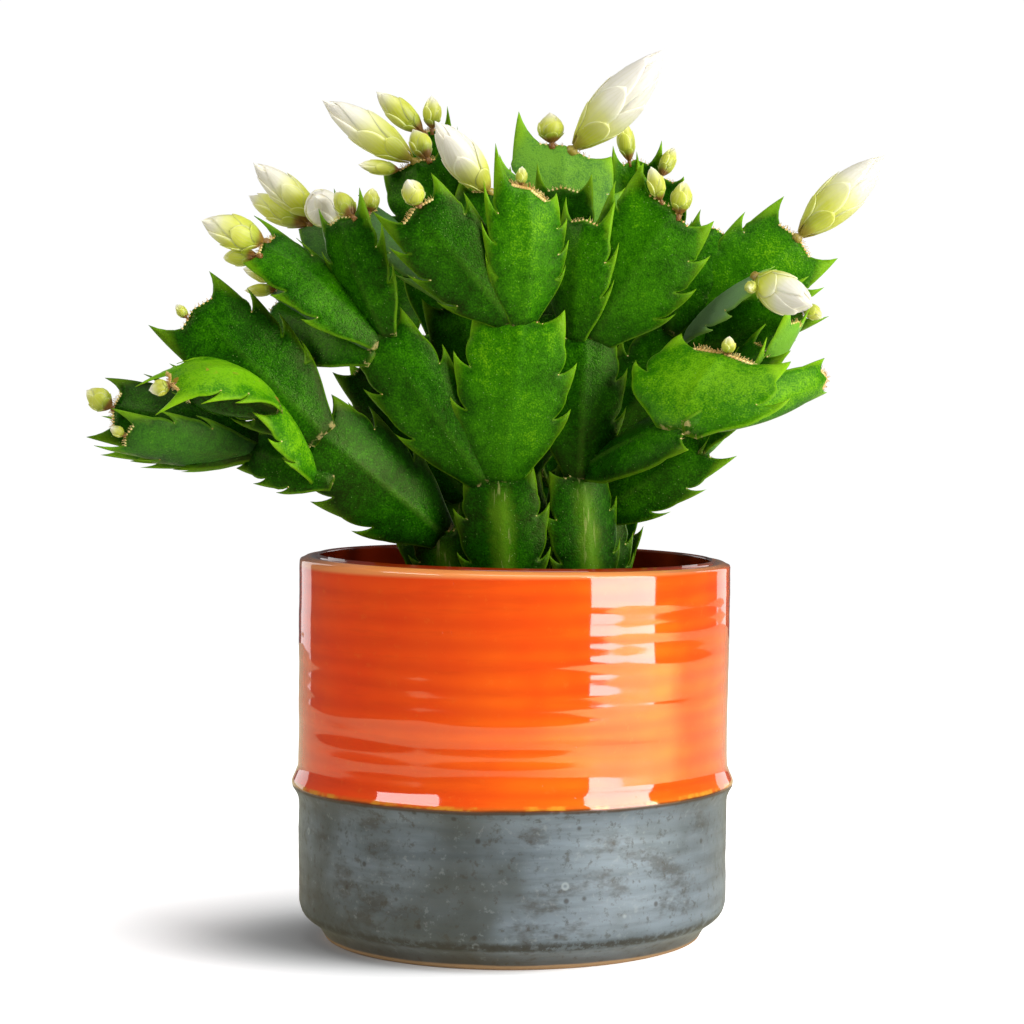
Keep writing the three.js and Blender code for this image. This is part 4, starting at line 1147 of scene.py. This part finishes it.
def make_pot():
    """The pot: its outline turned round its axis, with throwing waves and rings, and a rim that drops."""
    outline = pot_outline()
    points = np.stack([outline[:, 0], 0 * outline[:, 0], outline[:, 1]], 1)
    pot = make_piece("glazed_pot", points, np.zeros((0, 3), int), [])

    tree = Builder("thrown_pot", {
        "Sides": 192, "Rows": len(points), "Ring Depth": 0.02 * MM, "Ring Spacing": 4.6 * MM,
        "Wave Depth": 0.9 * MM, "Unevenness": 0.6 * MM, "Rim Drop": RIM_DROP * MM,
        "Top Shift": TOP_SHIFT * MM})
    sides, rows = tree.size("Sides"), tree.size("Rows")
    grid = tree.node("GeometryNodeMeshGrid", {"Vertices X": sides + 1, "Vertices Y": rows})
    index = tree.node("GeometryNodeInputIndex")
    turn = tree.math("FLOOR", index / rows) * (2 * math.pi) / sides
    around, across = tree.math("COSINE", turn), tree.math("SINE", turn)
    sampled = tree.node("GeometryNodeSampleIndex", {
        "Geometry": tree.base, "Value": tree.node("GeometryNodeInputPosition"),
        "Index": tree.math("MODULO", index, rows)}, data_type="FLOAT_VECTOR", domain="POINT")
    radius, _, height = tree.parts(sampled)
    # A small circle in the noise makes waves that are long round the pot and meet after a turn
    dent = tree.noise(tree.vector(around * 0.03, across * 0.03, height), 30, 1) - 0.5
    wave = tree.noise(tree.vector(around * 0.009, across * 0.009, height), 62, 1) - 0.5
    ring = tree.math("SINE", height / tree.size("Ring Spacing") * (2 * math.pi) + 5 * dent + turn)
    wall = tree.step(radius, FLAT_RADIUS * MM, 55 * MM) * tree.step(height, 2 * MM, 8 * MM)
    thrown = tree.size("Ring Depth") * ring + tree.size("Wave Depth") * wave + tree.size("Unevenness") * dent
    radius = radius + wall * thrown
    share = height / (POT_HEIGHT * MM)
    x, y = radius * around, radius * across
    z = height - tree.size("Rim Drop") * share * share * share * x / (POT_RADIUS * MM)
    place = tree.vector(x + tree.size("Top Shift") * share * share, y, z)
    grid = tree.node("GeometryNodeSetPosition", {"Geometry": grid, "Position": place})
    grid = tree.node("GeometryNodeMergeByDistance", {"Geometry": grid, "Distance": 0.01 * MM})
    grid = tree.node("GeometryNodeFlipFaces", {"Mesh": grid})
    tree.finish(glaze, tree.node("GeometryNodeSetShadeSmooth", {"Geometry": grid}))
    tree.grow(pot)
    hand_over(pot, "glaze", "pot")


def make_soil():
    """The soil: a lumpy body that fills the pot, with loose crumbs all over its top."""
    sides = 72
    edge = INNER_RADIUS - SOIL_GAP
    low = FLOOR + 0.4
    rings = [(edge - 4.2, low), (edge, FLOOR + 6.2), (edge, 60), (edge, SOIL_TOP - 3), (edge, SOIL_TOP - 1)]
    rings += [(edge * share, SOIL_TOP) for share in np.linspace(0.97, 0.04, 26)]
    points = [(0, 0, low)]
    for radius, height in rings:
        for i in range(sides):
            turn = 2 * math.pi * i / sides
            x, y = radius * math.cos(turn), radius * math.sin(turn)
            lump = math.sin(x * 0.31 + 1.7 * math.cos(y * 0.13))
            lump *= math.sin(y * 0.27 + 1.3 * math.sin(x * 0.11))
            fine = 0.35 * math.sin(1.3 * x + 2 * math.sin(0.9 * y)) * math.sin(1.1 * y)
            points.append((x, y, height - (SOIL_LUMP * (1 - lump) - fine if height == SOIL_TOP else 0)))
    points.append((0, 0, SOIL_TOP - SOIL_LUMP))
    soil = make_piece("potting_soil", points, round_faces(len(rings), sides), [])

    tree = Builder("soil_crumbs", {
        "Crumbs per Square Metre": 260000.0, "Crumb Size": 0.75 * MM, "Lowest": (SOIL_TOP - 4) * MM,
        "Seed": 5})
    height = tree.parts(tree.node("GeometryNodeInputPosition"))[2]
    on_top = tree.math("GREATER_THAN", height, tree.size("Lowest"))
    density, seed = tree.size("Crumbs per Square Metre"), tree.size("Seed")
    points = tree.node("GeometryNodeDistributePointsOnFaces", {
        "Mesh": tree.base, "Selection": on_top, "Density": density, "Seed": seed})
    lump = tree.node("GeometryNodeMeshIcoSphere", {"Radius": tree.size("Crumb Size"), "Subdivisions": 1})
    turn = tree.random((0.0, 0.0, 0.0), (FULL_TURN, FULL_TURN, FULL_TURN), seed + 1)
    size = tree.random((0.4, 0.4, 0.4), (1.5, 1.2, 1), seed + 2)
    crumbs = tree.instances(points, lump, Rotation=turn, Scale=size)
    luck = tree.vector(tree.random(0.0, 1.0, seed + 3), 0.0, 0.0)
    stored = {"Geometry": crumbs, "Name": "crumb", "Value": luck}
    crumbs = tree.node("GeometryNodeStoreNamedAttribute", stored, data_type="FLOAT_VECTOR", domain="INSTANCE")
    tree.finish(soil_crumb, tree.base, crumbs)
    tree.grow(soil)
    hand_over(soil, "soil", "soil")


def make_wool():
    """Wool and bristles: tufts along each pad's blunt end, and small ones in the notches behind its teeth.
    A tuft is its size in millimetres and how many fibres it has."""
    places, leans, tufts = [], [], []
    carriers = {pad["on"] for pads in STEMS.values() for pad in pads.values() if "on" in pad}
    for name, frame in frames.items():
        wool = WOOLLY_PADS.get(name, 0.25 if name in carriers else 0.5)
        corner = HORN["notch"] * frame.half * np.interp(HORN["at"], *zip(*PAD_OUTLINE))
        count = 5 + round(6 * wool) + 2 * (frame.half > 12)
        for k in range(count):
            side = corner * (2 * k / (count - 1) - 1)
            share = 1 - (1 - HORN["at"]) * abs(side) / corner - 0.004
            places.append(frame.points(share, side))
            leans.append(frame.up + 0.35 * np.sign(side) * frame.across)
            tufts.append((0.7 + 0.75 * wool, 2 + 7 * wool, 0))
        for sign in (1, -1):
            for share, side in pad_side(frame, sign)[1][:-1]:
                places.append(frame.points(share, side * 0.985))
                leans.append(0.5 * frame.up + sign * frame.across)
                tufts.append((0.6, 3, 0))
    values = dict(lean=leans, tuft=np.array(tufts) * (MM, 1, 1))
    wool = make_piece("areole_wool", places, np.zeros((0, 3), int), [], values)

    tree = Builder("wool_tufts", {"Spread": 0.75, "Fibre Thickness": 0.055, "Lump": 0.42, "Seed": 9})
    seed = tree.size("Seed")
    points = tree.node("GeometryNodeMeshToPoints", {"Mesh": tree.base})
    size, amount, _ = tree.parts(tree.named("tuft"))
    many = tree.node("GeometryNodeDuplicateElements", {"Geometry": points, "Amount": amount}, domain="POINT")
    stray = tree.random((-1.0, -1.0, -1.0), (1.0, 1.0, 1.0), seed)
    stray = tree.node("ShaderNodeVectorMath", {0: stray, "Scale": tree.size("Spread")}, operation="SCALE")
    way = tree.node("ShaderNodeVectorMath", {0: tree.named("lean"), 1: stray}, operation="ADD")
    turn = tree.node("FunctionNodeAlignRotationToVector", {"Vector": way}, axis="Z")
    line = tree.node("GeometryNodeCurveQuadraticBezier", {
        "Resolution": 3, "Start": (0, 0, -0.1), "Middle": (0.22, 0.05, 0.45), "End": (0.1, 0.3, 1)})
    thin = tree.size("Fibre Thickness")
    tube = tree.node("GeometryNodeCurvePrimitiveCircle", {"Resolution": 3, "Radius": thin})
    fibre = tree.node("GeometryNodeCurveToMesh", {"Curve": line, "Profile Curve": tube, "Fill Caps": True})
    long = tree.random(0.45, 1.25, seed + 1) * size
    fibres = tree.instances(many, fibre, Rotation=turn, Scale=tree.vector(long, long, long))
    ball = tree.node("GeometryNodeMeshIcoSphere", {"Radius": tree.size("Lump"), "Subdivisions": 2})
    lumps = tree.instances(points, ball, Scale=tree.vector(size, size, size * 0.8))
    tree.finish(tan_wool, fibres, lumps)
    tree.grow(wool)
    hand_over(wool, "pad")


def set_camera():
    """The camera of the photograph."""
    data = bpy.data.cameras.new("camera")
    data.lens = CAMERA_LENS
    data.sensor_width = CAMERA_FILM
    camera = bpy.data.objects.new("camera", data)
    camera.location = Vector(CAMERA_PLACE) * MM
    camera.rotation_euler = (math.pi / 2 - CAMERA_TILT, 0, 0)
    bpy.context.scene.collection.objects.link(camera)
    bpy.context.scene.camera = camera


def soft_light(name, azimuth, distance, low, high, width, brightness):
    """A bright panel round the pot, in metres: azimuth in degrees to the camera's right, from low to high."""
    turn = math.radians(azimuth)
    data = bpy.data.lights.new(name, "AREA")
    data.shape = "RECTANGLE"
    data.size, data.size_y = width, high - low
    data.energy = brightness * math.pi * width * (high - low)
    light = bpy.data.objects.new(name, data)
    light.location = (distance * math.sin(turn), -distance * math.cos(turn), (low + high) / 2)
    light.rotation_euler = Vector((-math.sin(turn), math.cos(turn), 0)).to_track_quat("-Z", "Y").to_euler()
    bpy.context.scene.collection.objects.link(light)
    return light


def set_studio():
    """A pale floor, a white surrounding, windows at the right, soft panels at the left, behind and above."""
    scene = bpy.context.scene
    scene.view_settings.view_transform = "Standard"
    world = bpy.data.worlds.new("studio")
    world.use_nodes = True
    graph = Graph(world.node_tree)
    graph.tree.nodes.clear()
    seen = graph.node("ShaderNodeLightPath", output="Is Camera Ray")
    brightness = 0.07 + 0.95 * seen + 0.04 * seen.output("Is Glossy Ray")
    surround = graph.node("ShaderNodeBackground", {"Color": (1, 1, 1, 1), "Strength": brightness})
    graph.node("ShaderNodeOutputWorld", {"Surface": surround})
    scene.world = world
    corners = [(-600, -540, 0), (900, -540, 0), (900, 1000, 0), (-600, 1000, 0)]
    floor = make_piece("floor", corners, [(0, 1, 2), (0, 2, 3)], [pale_floor])
    for k in range(3):
        soft_light(f"window_{k}", 58, 1.3, 0.46 * k - 0.06, 0.46 * k + 0.38, 0.9, 8)
    soft_light("left_panel", -58, 1.3, 0.55, 1.1, 0.85, 6)
    soft_light("back_panel_left", -146, 1.9, -0.3, 1.3, 0.7, 1)
    soft_light("back_panel_right", 143, 1.9, -0.3, 1.3, 0.6, 1.2)
    overhead = soft_light("overhead", 20, 0.35, 1.1, 1.7, 1.1, 3)
    overhead.rotation_euler = (overhead.location - Vector((0, 0, 0.1))).to_track_quat("Z", "Y").to_euler()


set_camera()
frames = pad_frames()
pad_skin = material("pad_skin", paint_pad)
woody_skin = material("woody_skin", paint_woody)
tepal_skin = material("tepal_skin", paint_tepal)
tan_wool = material("tan_wool", paint_wool)
soil_crumb = material("soil_crumb", paint_soil)
glaze = material("two_glazes", paint_glaze)
pale_floor = material("pale_floor", paint_floor)
make_pot()
make_soil()
make_stems()
make_buds()
make_wool()
set_studio()
